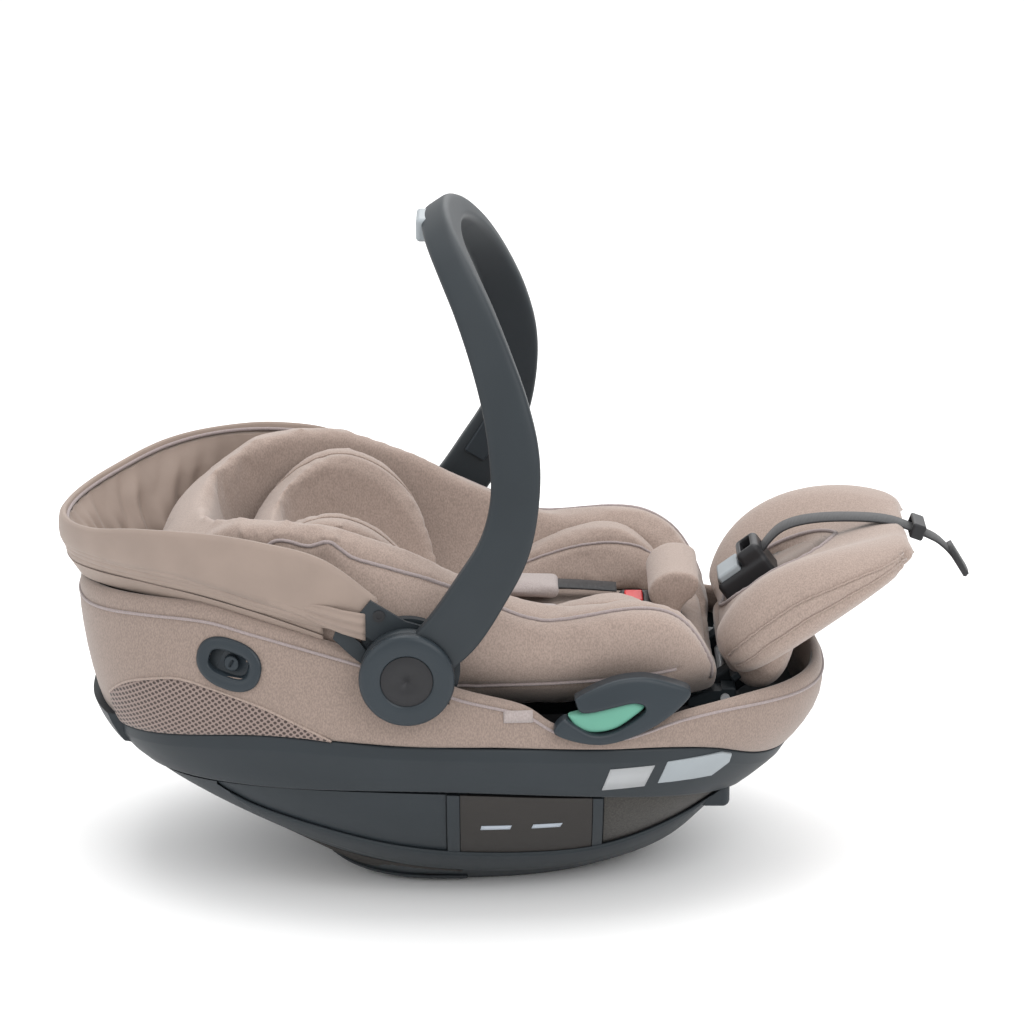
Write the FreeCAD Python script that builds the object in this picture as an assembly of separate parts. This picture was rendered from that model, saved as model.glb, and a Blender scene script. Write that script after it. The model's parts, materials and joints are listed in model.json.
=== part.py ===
"""Lie-flat infant car seat (carrier): a boat-shaped shell on a flat skid, a swinging carry handle,
a folding canopy, a reclining padded bucket with a sliding headrest, and a leg rest with the
harness adjuster.

Millimetres. +X runs from the head end to the foot end, +Z is up, and the origin lies on the floor
under the middle of the carrier. Everything is symmetric about the XZ plane unless it says so.
"""
import FreeCAD
import Part
import math
import os

V = FreeCAD.Vector
OUT = "parts"

# ---------------------------------------------------------------- driving dimensions
PIVOT_X, PIVOT_Z = -65.0, 223.0        # the handle's and canopy's common axis, along Y
HUB_R = 39.5                           # round hub covers at both ends of the handle
HUB_FACE_Y = 222.0                     # the hub covers' outer faces, half the overall width
CANOPY_MID_Y = (188.4, 191.4)          # the canopy's end brackets lie between shell and handle
CANOPY_FRONT_Y = (191.7, 195.0)
HANDLE_BOSS_Y = (195.5, 216.0)
HUB_PLATE_Y = (180.0, 188.0)

RECLINE_X, RECLINE_Z = -230.0, 200.0   # the bucket turns about this axis, near the head end
RECLINE_PIN_R = 5.0

SKIN = 6.0                             # skid and rim stand this far outside the structural shell
WALL = 4.0                             # structural shell wall
FIT = 0.15                             # gap between faces that lie on each other
WIDEST_X = -40.0                       # where the shell is widest
OUTLINE_POWER = 2.4                    # roundness of the shell's outline seen from above
OUTLINE_POINTS = 28
TOOL_Y = 300.0                         # half length of the cutting prisms

# Outer surface of skid, rim and cover: height, head end x, foot end x, half width.
HULL = [
    (0.0, -122.0, 116.0, 94.0),
    (15.0, -142.0, 152.0, 118.0),
    (38.0, -176.0, 183.0, 146.0),
    (65.0, -230.0, 208.0, 171.0),
    (90.0, -275.0, 238.0, 188.0),
    (115.0, -310.0, 265.0, 199.0),
    (140.0, -329.0, 284.0, 205.0),
    (165.0, -338.0, 290.0, 206.0),
    (200.0, -346.0, 288.0, 201.0),
    (235.0, -350.0, 285.0, 192.0),
    (275.0, -350.0, 283.0, 187.0),
]
# Side view lines, (x, z) from head to foot.
RIM_TOP = [(-365, 128), (-318, 140), (-194, 164), (-71, 160), (61, 156), (176, 146), (235, 122), (310, 92)]
RIM_BOTTOM = [(-365, 92), (-300, 104), (-235, 113), (-71, 119), (61, 112), (176, 94), (235, 74), (310, 50)]
WINDOW_BOTTOM = [(-226, 109), (-197, 92), (-140, 73), (-73, 52), (-14, 41), (61, 38), (112, 45), (168, 66), (196, 86)]
SHELL_TOP = [(-365, 250), (-345, 252), (-290, 262), (-236, 265), (-195, 257), (-150, 246), (-105, 234),
             (-60, 220), (-22, 204), (30, 190), (60, 172), (110, 163), (165, 176), (225, 180), (310, 174)]
# Top edge of the bucket's padded wall: wings, waist and hip bolsters.
BUCKET_TOP = [(-310, 268), (-288, 285), (-250, 308), (-212, 328), (-168, 335), (-123, 331), (-79, 317),
              (-43, 299), (1, 275), (45, 255), (90, 258), (127, 262), (155, 254), (180, 228), (197, 190), (205, 160)]

# The handle's centre line, from hub to grip: x, y, z, width, thickness, lean of the width axis.
HANDLE_LINE = [
    (-54.0, 205.9, 234.0, 40.0, 15.0, -45.0),
    (-39.0, 206.0, 249.0, 44.0, 17.0, -43.0),
    (-24.0, 206.0, 266.0, 46.0, 18.2, -38.0),
    (-6.0, 205.5, 294.0, 45.0, 18.5, -30.0),
    (14.0, 203.5, 330.0, 42.0, 18.0, -20.0),
    (23.0, 199.0, 368.0, 40.0, 17.5, -4.0),
    (23.0, 192.0, 406.0, 41.0, 17.5, 6.0),
    (16.0, 180.0, 443.0, 38.0, 18.0, 17.0),
    (4.0, 161.0, 479.0, 34.0, 19.5, 26.0),
    (-10.0, 133.0, 511.0, 31.0, 21.5, 31.0),
    (-24.0, 98.0, 535.0, 29.0, 24.0, 33.0),
    (-34.0, 58.0, 549.0, 28.0, 26.0, 34.0),
    (-38.0, 20.0, 554.5, 28.0, 27.0, 34.0),
]


# ---------------------------------------------------------------- shape helpers
def curve(points, closed=False):
    """A smooth edge through the points."""
    spline = Part.BSplineCurve()
    spline.interpolate([V(*p) for p in points], PeriodicFlag=closed)
    return spline.toShape()


def line(a, b):
    return Part.LineSegment(V(*a), V(*b)).toShape()


def power(value, exponent):
    return math.copysign(abs(value) ** exponent, value)


def outline(z, head, foot, half_width, widest=WIDEST_X, roundness=OUTLINE_POWER):
    """Closed plan outline at height z, a superellipse with its widest place at x = widest."""
    points = []
    for i in range(OUTLINE_POINTS):
        t = 2 * math.pi * i / OUTLINE_POINTS
        reach = foot - widest if math.cos(t) > 0 else widest - head
        points.append((widest + reach * power(math.cos(t), 2 / roundness),
                       half_width * power(math.sin(t), 2 / roundness), z))
    return Part.Wire([curve(points, closed=True)])


def loft(wires):
    return Part.makeLoft(wires, True, False)


def hull(offset):
    """The boat shape grown (or shrunk, when negative) by offset from the structural shell."""
    grow = offset - SKIN
    wires = []
    for k, (z, head, foot, half) in enumerate(HULL):
        drop = grow if k == 0 else grow * max(0.0, 1 - z / 60.0)
        wires.append(outline(z - drop, head - grow, foot + grow, half + grow))
    return loft(wires)


def under(side_line, top=False, floor=-40.0, ceiling=640.0, shift=0.0):
    """Prism along Y holding everything under (or, with top, over) a side view line."""
    points = [(x, 0, z + shift) for x, z in side_line]
    limit = ceiling if top else floor
    first, last = points[0], points[-1]
    edges = [curve(points), line(last, (last[0], 0, limit)),
             line((last[0], 0, limit), (first[0], 0, limit)), line((first[0], 0, limit), first)]
    face = Part.Face(Part.Wire(edges))
    face.translate(V(0, -TOOL_Y, 0))
    return face.extrude(V(0, 2 * TOOL_Y, 0))


def over(side_line, shift=0.0):
    return under(side_line, top=True, shift=shift)


def slab(x0, x1, y0=-TOOL_Y, y1=TOOL_Y, z0=-50.0, z1=650.0):
    return Part.makeBox(x1 - x0, y1 - y0, z1 - z0, V(x0, y0, z0))


def cylinder_y(radius, y0, y1, x=PIVOT_X, z=PIVOT_Z):
    return Part.makeCylinder(radius, y1 - y0, V(x, y0, z), V(0, 1, 0))


def disc_y(radius, y_in, y_out, round_r, x=PIVOT_X, z=PIVOT_Z):
    """A disc with its outer rim rounded; y_in and y_out are distances from the centre plane."""
    disc = cylinder_y(radius, y_in, y_out, x, z)
    rim = [e for e in disc.Edges if abs(e.BoundBox.YMin - y_out) < 1e-6 and abs(e.BoundBox.YMax - y_out) < 1e-6]
    return disc.makeFillet(round_r, rim)


def mirrored(shape):
    return shape.mirror(V(0, 0, 0), V(0, 1, 0))


def rounded_prism(xz_points, y0, y1, fillet=0.0, smooth=True):
    """Closed side view outline through the points, extruded from y0 to y1 with rounded outer edges."""
    pts = [(x, y0, z) for x, z in xz_points]
    if smooth:
        wire = Part.Wire([curve(pts, closed=True)])
    else:
        wire = Part.makePolygon([V(*p) for p in pts + pts[:1]])
    body = Part.Face(wire).extrude(V(0, y1 - y0, 0))
    if fillet:
        rim = [e for e in body.Edges if abs(e.BoundBox.YMin - y1) < 1e-4 and abs(e.BoundBox.YMax - y1) < 1e-4]
        body = body.makeFillet(fillet, rim)
    return body


def box_round(x0, x1, y0, y1, z0, z1, radius):
    """A box with all edges rounded."""
    body = Part.makeBox(x1 - x0, y1 - y0, z1 - z0, V(x0, y0, z0))
    return body.makeFillet(radius, body.Edges)


def turned_y(shape, x, z, degrees):
    """Turns a shape about an axis along Y through (x, z); positive lowers the +X side."""
    out = shape.copy()
    out.rotate(V(x, 0, z), V(0, 1, 0), degrees)
    return out


def save(name, shape):
    solids = shape.Solids
    if not solids:
        raise RuntimeError(name + " has no solid")
    for s in solids:
        if not s.isValid() or s.Volume <= 0:
            raise RuntimeError(name + " has a bad solid")
    result = solids[0] if len(solids) == 1 else Part.makeCompound(solids)
    result.exportStep(os.path.join(OUT, name + ".step"))
    b = shape.BoundBox
    print("%-26s %2d solids %9.1f cm3  x %6.1f %6.1f  y %6.1f %6.1f  z %6.1f %6.1f" % (
        name, len(solids), shape.Volume / 1000, b.XMin, b.XMax, b.YMin, b.YMax, b.ZMin, b.ZMax))


def save_pair(name, left_shape):
    """Saves a shape that lies on the +Y side (the left) and its mirror image as two nodes."""
    save(name + "_left", left_shape)
    save(name + "_right", mirrored(left_shape))


def save_both(name, left_shape):
    """Saves a shape and its mirror image as the separate solids of one node."""
    save(name, Part.makeCompound(left_shape.Solids + mirrored(left_shape).Solids))


# ---------------------------------------------------------------- shell and everything fixed to it
DOCK_BAR_R, DOCK_BAR_Z = 4.0, 4.3
HUB_MOUNT_R = HUB_R + 4.0              # mounting plate behind each hub
BOLT_HEAD_R = 10.0
GAP = 0.1                              # clearance round parts let into the shell, cover and pads
SNAP_R, SNAP_HEIGHT = 5.0, 1.2
SOCKET_DEPTH, SOCKET_TURN = 9.0, 16.0
SOCKET_X, SOCKET_Z = -213.0, 222.0     # side impact socket
SOCKET_W, SOCKET_H = 54.0, 42.0
PANEL_X0, PANEL_X1 = -22.0, 88.0       # the reflective panel in the side window


def grown_prism(line, grow, y0, y1):
    """A sharp prism of a side view outline whose corners are moved out from its middle."""
    cx = sum(p[0] for p in line) / len(line)
    cz = sum(p[1] for p in line) / len(line)
    pts = []
    for x, z in line:
        d = math.hypot(x - cx, z - cz)
        pts.append((x + (x - cx) / d * grow, z + (z - cz) / d * grow))
    return rounded_prism(pts, y0, y1, smooth=False)


def hub_cut():
    one = cylinder_y(HUB_MOUNT_R + GAP, HUB_PLATE_Y[0] - GAP, 260).fuse(cylinder_y(BOLT_HEAD_R + GAP, 170, 260))
    return one.fuse(mirrored(one))


def oval(x, z, w, h, y0, y1, fillet=0.0):
    pts = []
    for i in range(16):
        t = 2 * math.pi * i / 16
        pts.append((x + w / 2 * power(math.cos(t), 0.78), z + h / 2 * power(math.sin(t), 0.78)))
    return rounded_prism(pts, y0, y1, fillet)


def hull_width_at(x, z, offset):
    """Half width of hull(offset) at (x, z), by linear interpolation between the sections."""
    rows = [(r[0], r[1] - offset + SKIN, r[2] + offset - SKIN, r[3] + offset - SKIN) for r in HULL]
    for a, b in zip(rows, rows[1:]):
        if a[0] <= z <= b[0]:
            f = (z - a[0]) / (b[0] - a[0])
            head, foot, half = [a[k] + f * (b[k] - a[k]) for k in (1, 2, 3)]
            reach = foot - WIDEST_X if x > WIDEST_X else WIDEST_X - head
            u = min(1.0, abs(x - WIDEST_X) / reach)
            return half * (1 - u ** OUTLINE_POWER) ** (1 / OUTLINE_POWER)
    return 0.0


def socket_room(around=GAP, behind=GAP):
    """The space of the left side impact socket, with clearance round it."""
    face_y = hull_width_at(SOCKET_X, SOCKET_Z, SKIN)
    rim = oval(SOCKET_X, SOCKET_Z, SOCKET_W + 8 + 2 * around, SOCKET_H + 6 + 2 * around, face_y - 3 - behind, 260)
    cup = oval(SOCKET_X, SOCKET_Z, SOCKET_W - 9 + 2 * around, SOCKET_H - 9 + 2 * around,
               face_y - SOCKET_DEPTH - behind, 260)
    return turned_y(rim.fuse(cup), SOCKET_X, SOCKET_Z, SOCKET_TURN)


def docking_bar(x0, around=0.0):
    """The cross bar of the docking pocket that starts at x0."""
    return Part.makeCylinder(DOCK_BAR_R + around, DOCK_W + 2 * around,
                             V(x0 + DOCK_L / 2, -DOCK_W / 2 - around, DOCK_BAR_Z), V(0, 1, 0))


def build_shell():
    outer = hull(0.0)
    below_top = under(SHELL_TOP)
    shell = outer.cut(hull(-WALL)).common(below_top)
    shell = shell.cut(hub_cut())
    socket_hole = socket_room()
    shell = shell.cut(socket_hole).cut(mirrored(socket_hole))
    for x0 in DOCK_X:
        shell = shell.cut(docking_bar(x0, GAP))
    lever_room = lever_prism(1.0)
    shell = shell.cut(lever_room).cut(mirrored(lever_room))
    save("carrier_shell", shell)

    liner = hull(-WALL - FIT).cut(hull(-WALL - 10.0)).common(under([(-365, 150), (0, 128), (310, 92)]))
    save("foam_liner", liner)

    layer = hull(SKIN).cut(hull(FIT))
    rim = layer.common(under(RIM_TOP)).common(over(RIM_BOTTOM))
    rim = rim.cut(lever_room).cut(mirrored(lever_room))
    save("rim_band", rim)

    skid = layer.common(under(RIM_BOTTOM, shift=-1.5))
    window = under(RIM_BOTTOM, shift=-1.4).common(over(WINDOW_BOTTOM)).common(slab(-226, 196))
    window = window.common(slab(-226, 196, 40, 300).fuse(slab(-226, 196, -300, -40)))
    skid = skid.cut(window)
    for x0 in DOCK_X:
        skid = skid.cut(Part.makeBox(DOCK_L, DOCK_W, 12, V(x0, -DOCK_W / 2, -3)))
    save("base_skid", skid)
    build_window(window)
    build_cover()


DOCK_X, DOCK_L, DOCK_W = (-96.0, 46.0), 44.0, 96.0   # docking bays under the skid


def build_window(window):
    """What fills the side windows: instruction panel, reflective panel and its posts, foam insert."""
    gap = 1.2
    inner = window.common(under(RIM_BOTTOM, shift=-1.4 - gap)).common(over(WINDOW_BOTTOM, shift=gap))
    left = slab(-300, 300, 40, 300)
    thin = hull(SKIN - 2.2).cut(hull(FIT))
    label = thin.common(inner).common(slab(-226 + gap, PANEL_X0 - 12)).common(left)
    save_both("instruction_panels", label)
    plate = hull(SKIN - 1.0).cut(hull(FIT)).common(inner).common(slab(PANEL_X0, PANEL_X1)).common(left)
    save_both("reflector_panels", plate)
    posts = hull(SKIN - 0.2).cut(hull(FIT)).common(inner).common(left)
    posts = posts.common(slab(PANEL_X0 - 11, PANEL_X0 - 0.6).fuse(slab(PANEL_X1 + 0.6, PANEL_X1 + 9)))
    save_both("panel_posts", posts)
    insert = hull(SKIN - 4.0).cut(hull(FIT)).common(inner).common(slab(PANEL_X1 + 10, 196 - gap)).common(left)
    save_both("foam_inserts", insert)


def belt_guide_outline():
    """Side view of the belt guide: a hook over an open slot, pointing to the head end."""
    return [(66, 197), (92, 208), (112, 214), (131, 214), (146, 206), (166, 196), (168, 190), (150, 178),
            (127, 167), (105, 160), (82, 160), (64, 168), (57, 177), (62, 185), (71, 186), (76, 177),
            (88, 171), (104, 172), (130, 184), (133, 190), (122, 194), (108, 190), (92, 186), (77, 189)]


def build_cover():
    """Fabric cover on the upper shell, over the rim, with its openings, and what shows in them."""
    layer = hull(SKIN - 0.5).cut(hull(FIT))
    cover = layer.common(over(RIM_TOP, shift=0.4)).common(under(SHELL_TOP, shift=1.0))
    cover = cover.cut(hub_cut())
    socket = socket_room()
    guide_zone = slab(50, 172, 120, 300, 150, 230)
    guide = rounded_prism([(66, 200), (92, 211), (112, 217), (131, 217), (148, 208), (170, 198), (171, 188),
                           (150, 175), (127, 164), (105, 157), (80, 157), (62, 166), (54, 177), (58, 190)], 100, 260)
    arm = grown_prism(MIDDLE_ARM, 1.0, CANOPY_MID_Y[0] - 0.4, CANOPY_MID_Y[1] + 0.4)
    for tool in (socket, arm, guide.common(guide_zone)):
        cover = cover.cut(tool).cut(mirrored(tool))
    mesh_zone = over(RIM_TOP).common(rounded_prism(
        [(-318, 148), (-300, 192), (-247, 204), (-189, 186), (-114, 150), (-150, 140), (-240, 130)], 60, 300, 0.0))
    mesh = cover.common(mesh_zone)
    cover = cover.cut(mesh_zone).cut(mirrored(mesh_zone))
    save("shell_cover", cover)
    save_both("mesh_panels", mesh)


def build_fixed_hardware():
    plate = cylinder_y(HUB_MOUNT_R, HUB_PLATE_Y[0], HUB_PLATE_Y[1])
    bolt_hole = cylinder_y(6.1, 150, 260)
    plate = plate.cut(bolt_hole)
    save_both("hub_mounts", plate)

    bolt = cylinder_y(6.0, HUB_PLATE_Y[0] - 1.0, 214.0).fuse(cylinder_y(BOLT_HEAD_R, 176.5, HUB_PLATE_Y[0]))
    save_both("pivot_bolts", bolt)

    face_y = hull_width_at(SOCKET_X, SOCKET_Z, SKIN)
    cup = oval(SOCKET_X, SOCKET_Z, SOCKET_W + 8, SOCKET_H + 6, face_y - 3, face_y + 3.0, 2.4)
    body = oval(SOCKET_X, SOCKET_Z, SOCKET_W - 9, SOCKET_H - 9, face_y - SOCKET_DEPTH, face_y - 2)
    cup = cup.fuse(body)
    cup = cup.cut(oval(SOCKET_X, SOCKET_Z, SOCKET_W - 18, SOCKET_H - 18, face_y - SOCKET_DEPTH + 2, face_y + 20))
    cup = turned_y(cup, SOCKET_X, SOCKET_Z, SOCKET_TURN)
    stud = cylinder_y(6.0, face_y - SOCKET_DEPTH + 2, face_y - 1.5, SOCKET_X + 1, SOCKET_Z + 2)
    stud_head = cylinder_y(7.5, face_y - 4.5, face_y - 1.5, SOCKET_X + 1, SOCKET_Z + 2)
    save_pair("impact_socket", cup)
    save_both("socket_studs", stud.fuse(stud_head))

    guide = rounded_prism(belt_guide_outline(), 150, 214).cut(hull(FIT)).common(hull(SKIN + 24))
    save_pair("belt_guide", guide)
    tongue = rounded_prism([(72, 186), (78, 188.5), (92, 186.5), (108, 189.8), (121, 193), (131, 189), (129, 184.6),
                            (104, 172.8), (88, 172), (77, 178)], 150, 208)
    tongue = tongue.cut(hull(FIT)).common(hull(SKIN + 19))
    save_both("belt_guide_tongues", tongue.cut(guide))

    pin = cylinder_y(RECLINE_PIN_R, 112, 190, RECLINE_X, RECLINE_Z)
    pin = pin.fuse(cylinder_y(14.0, 136, 190, RECLINE_X, RECLINE_Z)).common(hull(-WALL - FIT))
    pin = pin.cut(socket_room())
    save_both("recline_pins", pin)

    bars = []
    for x0 in DOCK_X:
        bars.append(docking_bar(x0))
    save("docking_bars", Part.makeCompound(bars))


def build_bumper():
    """Release housing across the head end, between rim and skid, with its squeeze handle."""
    shell = hull(SKIN + 7).cut(hull(SKIN + FIT))
    zone = over([(-365, 118), (-300, 124), (-280, 118)], shift=0).common(under([(-365, 146), (-320, 150), (-280, 140)]))
    housing = shell.common(zone).common(slab(-370, -290, -95, 95))
    save("head_bumper", housing)
    lug = box_round(180, 206, 82, 110, 70, 92, 6.0)
    lug = lug.cut(hull(SKIN + FIT))
    save_both("stroller_lugs", lug)


# ---------------------------------------------------------------- handle
def ring_section(p, tangent, lean, width, thick, roundness=3.0, count=20):
    """A rounded rectangle across the path at p; its width axis leans in the XZ plane."""
    t = V(*tangent)
    t.normalize()
    a = math.radians(lean)
    w = V(math.cos(a), 0, math.sin(a))
    w = w - t * w.dot(t)
    w.normalize()
    n = t.cross(w)
    pts = []
    for i in range(count):
        s = 2 * math.pi * i / count
        q = V(*p) + w * (width / 2 * power(math.cos(s), 2 / roundness)) + n * (thick / 2 * power(math.sin(s), 2 / roundness))
        pts.append((q.x, q.y, q.z))
    return Part.Wire([curve(pts, closed=True)])


def build_handle():
    left = HANDLE_LINE
    right = [(x, -y, z, w, t, a) for x, y, z, w, t, a in reversed(left)]
    stations = left + right
    wires = []
    for k, (x, y, z, w, t, a) in enumerate(stations):
        before = stations[max(0, k - 1)]
        after = stations[min(len(stations) - 1, k + 1)]
        tangent = [after[i] - before[i] for i in range(3)]
        wires.append(ring_section((x, y, z), tangent, a, w, t))
    arch = loft(wires)
    boss = cylinder_y(HUB_R - 0.8, HANDLE_BOSS_Y[0], HANDLE_BOSS_Y[1])
    bore = cylinder_y(6.05, 150, 214.2)
    arch = arch.fuse(boss).fuse(mirrored(boss)).cut(bore).cut(mirrored(bore))
    arch = arch.cut(cylinder_y(60, 100, HANDLE_BOSS_Y[0])).cut(mirrored(cylinder_y(60, 100, HANDLE_BOSS_Y[0])))
    cap_room = cylinder_y(HUB_R + 0.1, HANDLE_BOSS_Y[1], 260)
    arch = arch.cut(cap_room).cut(mirrored(cap_room))
    arch = arch.cut(button_pocket()).cut(lock_pocket()).cut(mirrored(lock_pocket()))
    save("handle_arch", arch)

    cap = disc_y(HUB_R, HANDLE_BOSS_Y[1] + FIT, HUB_FACE_Y, 4.0)
    cap = cap.cut(cylinder_y(22.0, HUB_FACE_Y - 1.2, HUB_FACE_Y + 5))
    save_both("hub_caps", cap)
    save_both("hub_badges", cylinder_y(21.8, HUB_FACE_Y - 1.15, HUB_FACE_Y - 0.4))
    save("handle_button", button_shape())
    lock = lock_shape()
    save_pair("handle_lock_button", lock)


BUTTON_TILT = 0.0                      # the grip button faces the head end
BUTTON_AT = (-52.0, 0.0, 552.0)
LOCK_AT = (-4.0, 305.0)                # (x, z) of the press buttons inside the arms


def button_pocket():
    pocket = Part.makeBox(24, 42.6, 20.6, V(BUTTON_AT[0] - 8, -21.3, BUTTON_AT[2] - 10.3))
    return turned_y(pocket, BUTTON_AT[0], BUTTON_AT[2], BUTTON_TILT)


def button_shape():
    body = box_round(BUTTON_AT[0] - 7.5, BUTTON_AT[0] + 9, -21, 21, BUTTON_AT[2] - 10, BUTTON_AT[2] + 10, 3.5)
    return turned_y(body, BUTTON_AT[0], BUTTON_AT[2], BUTTON_TILT)


def lock_pocket():
    pocket = Part.makeBox(20.6, 14.5, 34.6, V(LOCK_AT[0] - 10.3, 188, LOCK_AT[1] - 17.3))
    return turned_y(pocket, LOCK_AT[0], LOCK_AT[1], 32)


def lock_shape():
    body = box_round(LOCK_AT[0] - 10, LOCK_AT[0] + 10, 193.3, 198.5, LOCK_AT[1] - 17, LOCK_AT[1] + 17, 1.5)
    return turned_y(body, LOCK_AT[0], LOCK_AT[1], 32)


# ---------------------------------------------------------------- canopy
# Plan of the folded canopy around the head end: x, half width.
FRONT_ARM = [(-52, 262), (-66, 266), (-82, 276), (-95, 284), (-106, 270), (-100, 254), (-88, 246)]
MIDDLE_ARM = [(-98, 238), (-104, 247), (-122, 262), (-126, 250), (-112, 236), (-100, 226)]
CANOPY_PLAN = [(-90.0, 187.0), (-135.0, 184.0), (-185.0, 175.0), (-237.0, 157.0), (-285.0, 130.0),
               (-328.0, 90.0), (-354.0, 46.0), (-362.0, 0.0)]
# Heights along the same stations: front bow band (low, high) and the fold under it.
BAND_Z = [(250, 284), (276, 316), (292, 327), (297, 330), (295, 325), (288, 313), (282, 305), (280, 303)]
FOLD_Z = [(240, 247), (252, 273), (266, 289), (270, 294), (269, 291), (264, 284), (260, 279), (259, 277)]


def hoop(plan, zs, outward, thick):
    """A closed strip that runs around the head end, standing between the given heights."""
    wires = []
    stations = [(x, y, z) for (x, y), z in zip(plan, zs)]
    stations += [(x, -y, z) for x, y, z in reversed(stations[:-1])]
    for k, (x, y, z) in enumerate(stations):
        a = stations[max(0, k - 1)]
        b = stations[min(len(stations) - 1, k + 1)]
        t = V(b[0] - a[0], b[1] - a[1], 0)
        t.normalize()
        n = V(-t.y, t.x, 0)
        if n.x * (x + 100) + n.y * y < 0:
            n = n * -1
        lo, hi = z
        mid, half = (lo + hi) / 2, (hi - lo) / 2
        pts = []
        for i in range(12):
            s = 2 * math.pi * i / 12
            d = outward + thick / 2 * power(math.cos(s), 0.8)
            pts.append((x + n.x * d, y + n.y * d, mid + half * power(math.sin(s), 0.8)))
        wires.append(Part.Wire([curve(pts, closed=True)]))
    return loft(wires)


def build_canopy():
    front_arm = rounded_prism(FRONT_ARM, CANOPY_FRONT_Y[0], CANOPY_FRONT_Y[1], smooth=False)
    front_arm = front_arm.cut(cylinder_y(30, 150, CANOPY_FRONT_Y[0] + 1.5))
    mid_arm = rounded_prism(MIDDLE_ARM, CANOPY_MID_Y[0], CANOPY_MID_Y[1], smooth=False)
    front = canopy_ring(CANOPY_FRONT_Y).fuse(front_arm)
    middle = canopy_ring(CANOPY_MID_Y).fuse(mid_arm)
    save_pair("canopy_front_bracket", front)
    save_pair("canopy_middle_bracket", middle)
    band = hoop(CANOPY_PLAN, BAND_Z, 1.4, 7.0).cut(front_arm).cut(mirrored(front_arm))
    hub_room = cylinder_y(HUB_MOUNT_R + 0.8, HUB_PLATE_Y[0] - 1, CANOPY_MID_Y[1] + 0.3)
    arm_room = grown_prism(MIDDLE_ARM, 1.0, CANOPY_MID_Y[0] - 0.4, CANOPY_MID_Y[1] + 0.3)
    for tool in (hub_room, arm_room):
        band = band.cut(tool).cut(mirrored(tool))
    save("canopy_front_fabric", band)
    fold = hoop(CANOPY_PLAN, FOLD_Z, 3.0, 8.0).cut(slab(-112, 0)).cut(mid_arm).cut(mirrored(mid_arm))
    save("canopy_fold_fabric", fold)
    stud = cylinder_y(SNAP_R, CANOPY_FRONT_Y[1] + FIT, CANOPY_FRONT_Y[1] + SNAP_HEIGHT, -88, 271)
    save_both("canopy_snaps", stud.cut(cylinder_y(2.2, CANOPY_FRONT_Y[1] + 0.6, 200, -88, 271)))


def canopy_ring(span):
    return cylinder_y(HUB_R - 2.0, span[0], span[1]).cut(cylinder_y(6.06, 150, 260))


# ---------------------------------------------------------------- reclining bucket
# Outside of the padded bucket: height, head x, foot x, half width.
BUCKET = [(150.0, -236.0, 222.0, 100.0), (172.0, -264.0, 230.0, 128.0), (196.0, -276.0, 236.0, 158.0),
          (210.0, -281.0, 238.0, 168.0), (260.0, -286.0, 240.0, 172.0), (345.0, -288.0, 240.0, 168.0)]
CAVITY = [(186.0, -204.0, 250.0, 84.0), (215.0, -218.0, 262.0, 108.0), (260.0, -232.0, 280.0, 126.0),
          (350.0, -244.0, 300.0, 140.0)]
HEAD_OUTER = [(190.0, -188.0, -32.0, 72.0), (230.0, -204.0, -36.0, 98.0), (280.0, -211.0, -42.0, 110.0),
              (340.0, -213.0, -50.0, 112.0)]
HEAD_INNER = [(212.0, -160.0, 70.0, 44.0), (250.0, -172.0, 80.0, 64.0), (345.0, -184.0, 90.0, 80.0)]
HEAD_TOP = [(-240, 236), (-214, 264), (-176, 305), (-137, 325), (-102, 318), (-59, 277), (-40, 236), (-20, 196)]
BUCKET_WIDEST = -70.0
BUCKET_POWER = 3.0
FRAME_TOP = 166.0                      # where the seat frame ends and the padding starts
BUCKET_END_X = 197.0


def bucket_loft(rows, widest=BUCKET_WIDEST):
    return loft([outline(z, h, f, w, widest, BUCKET_POWER) for z, h, f, w in rows])


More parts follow.
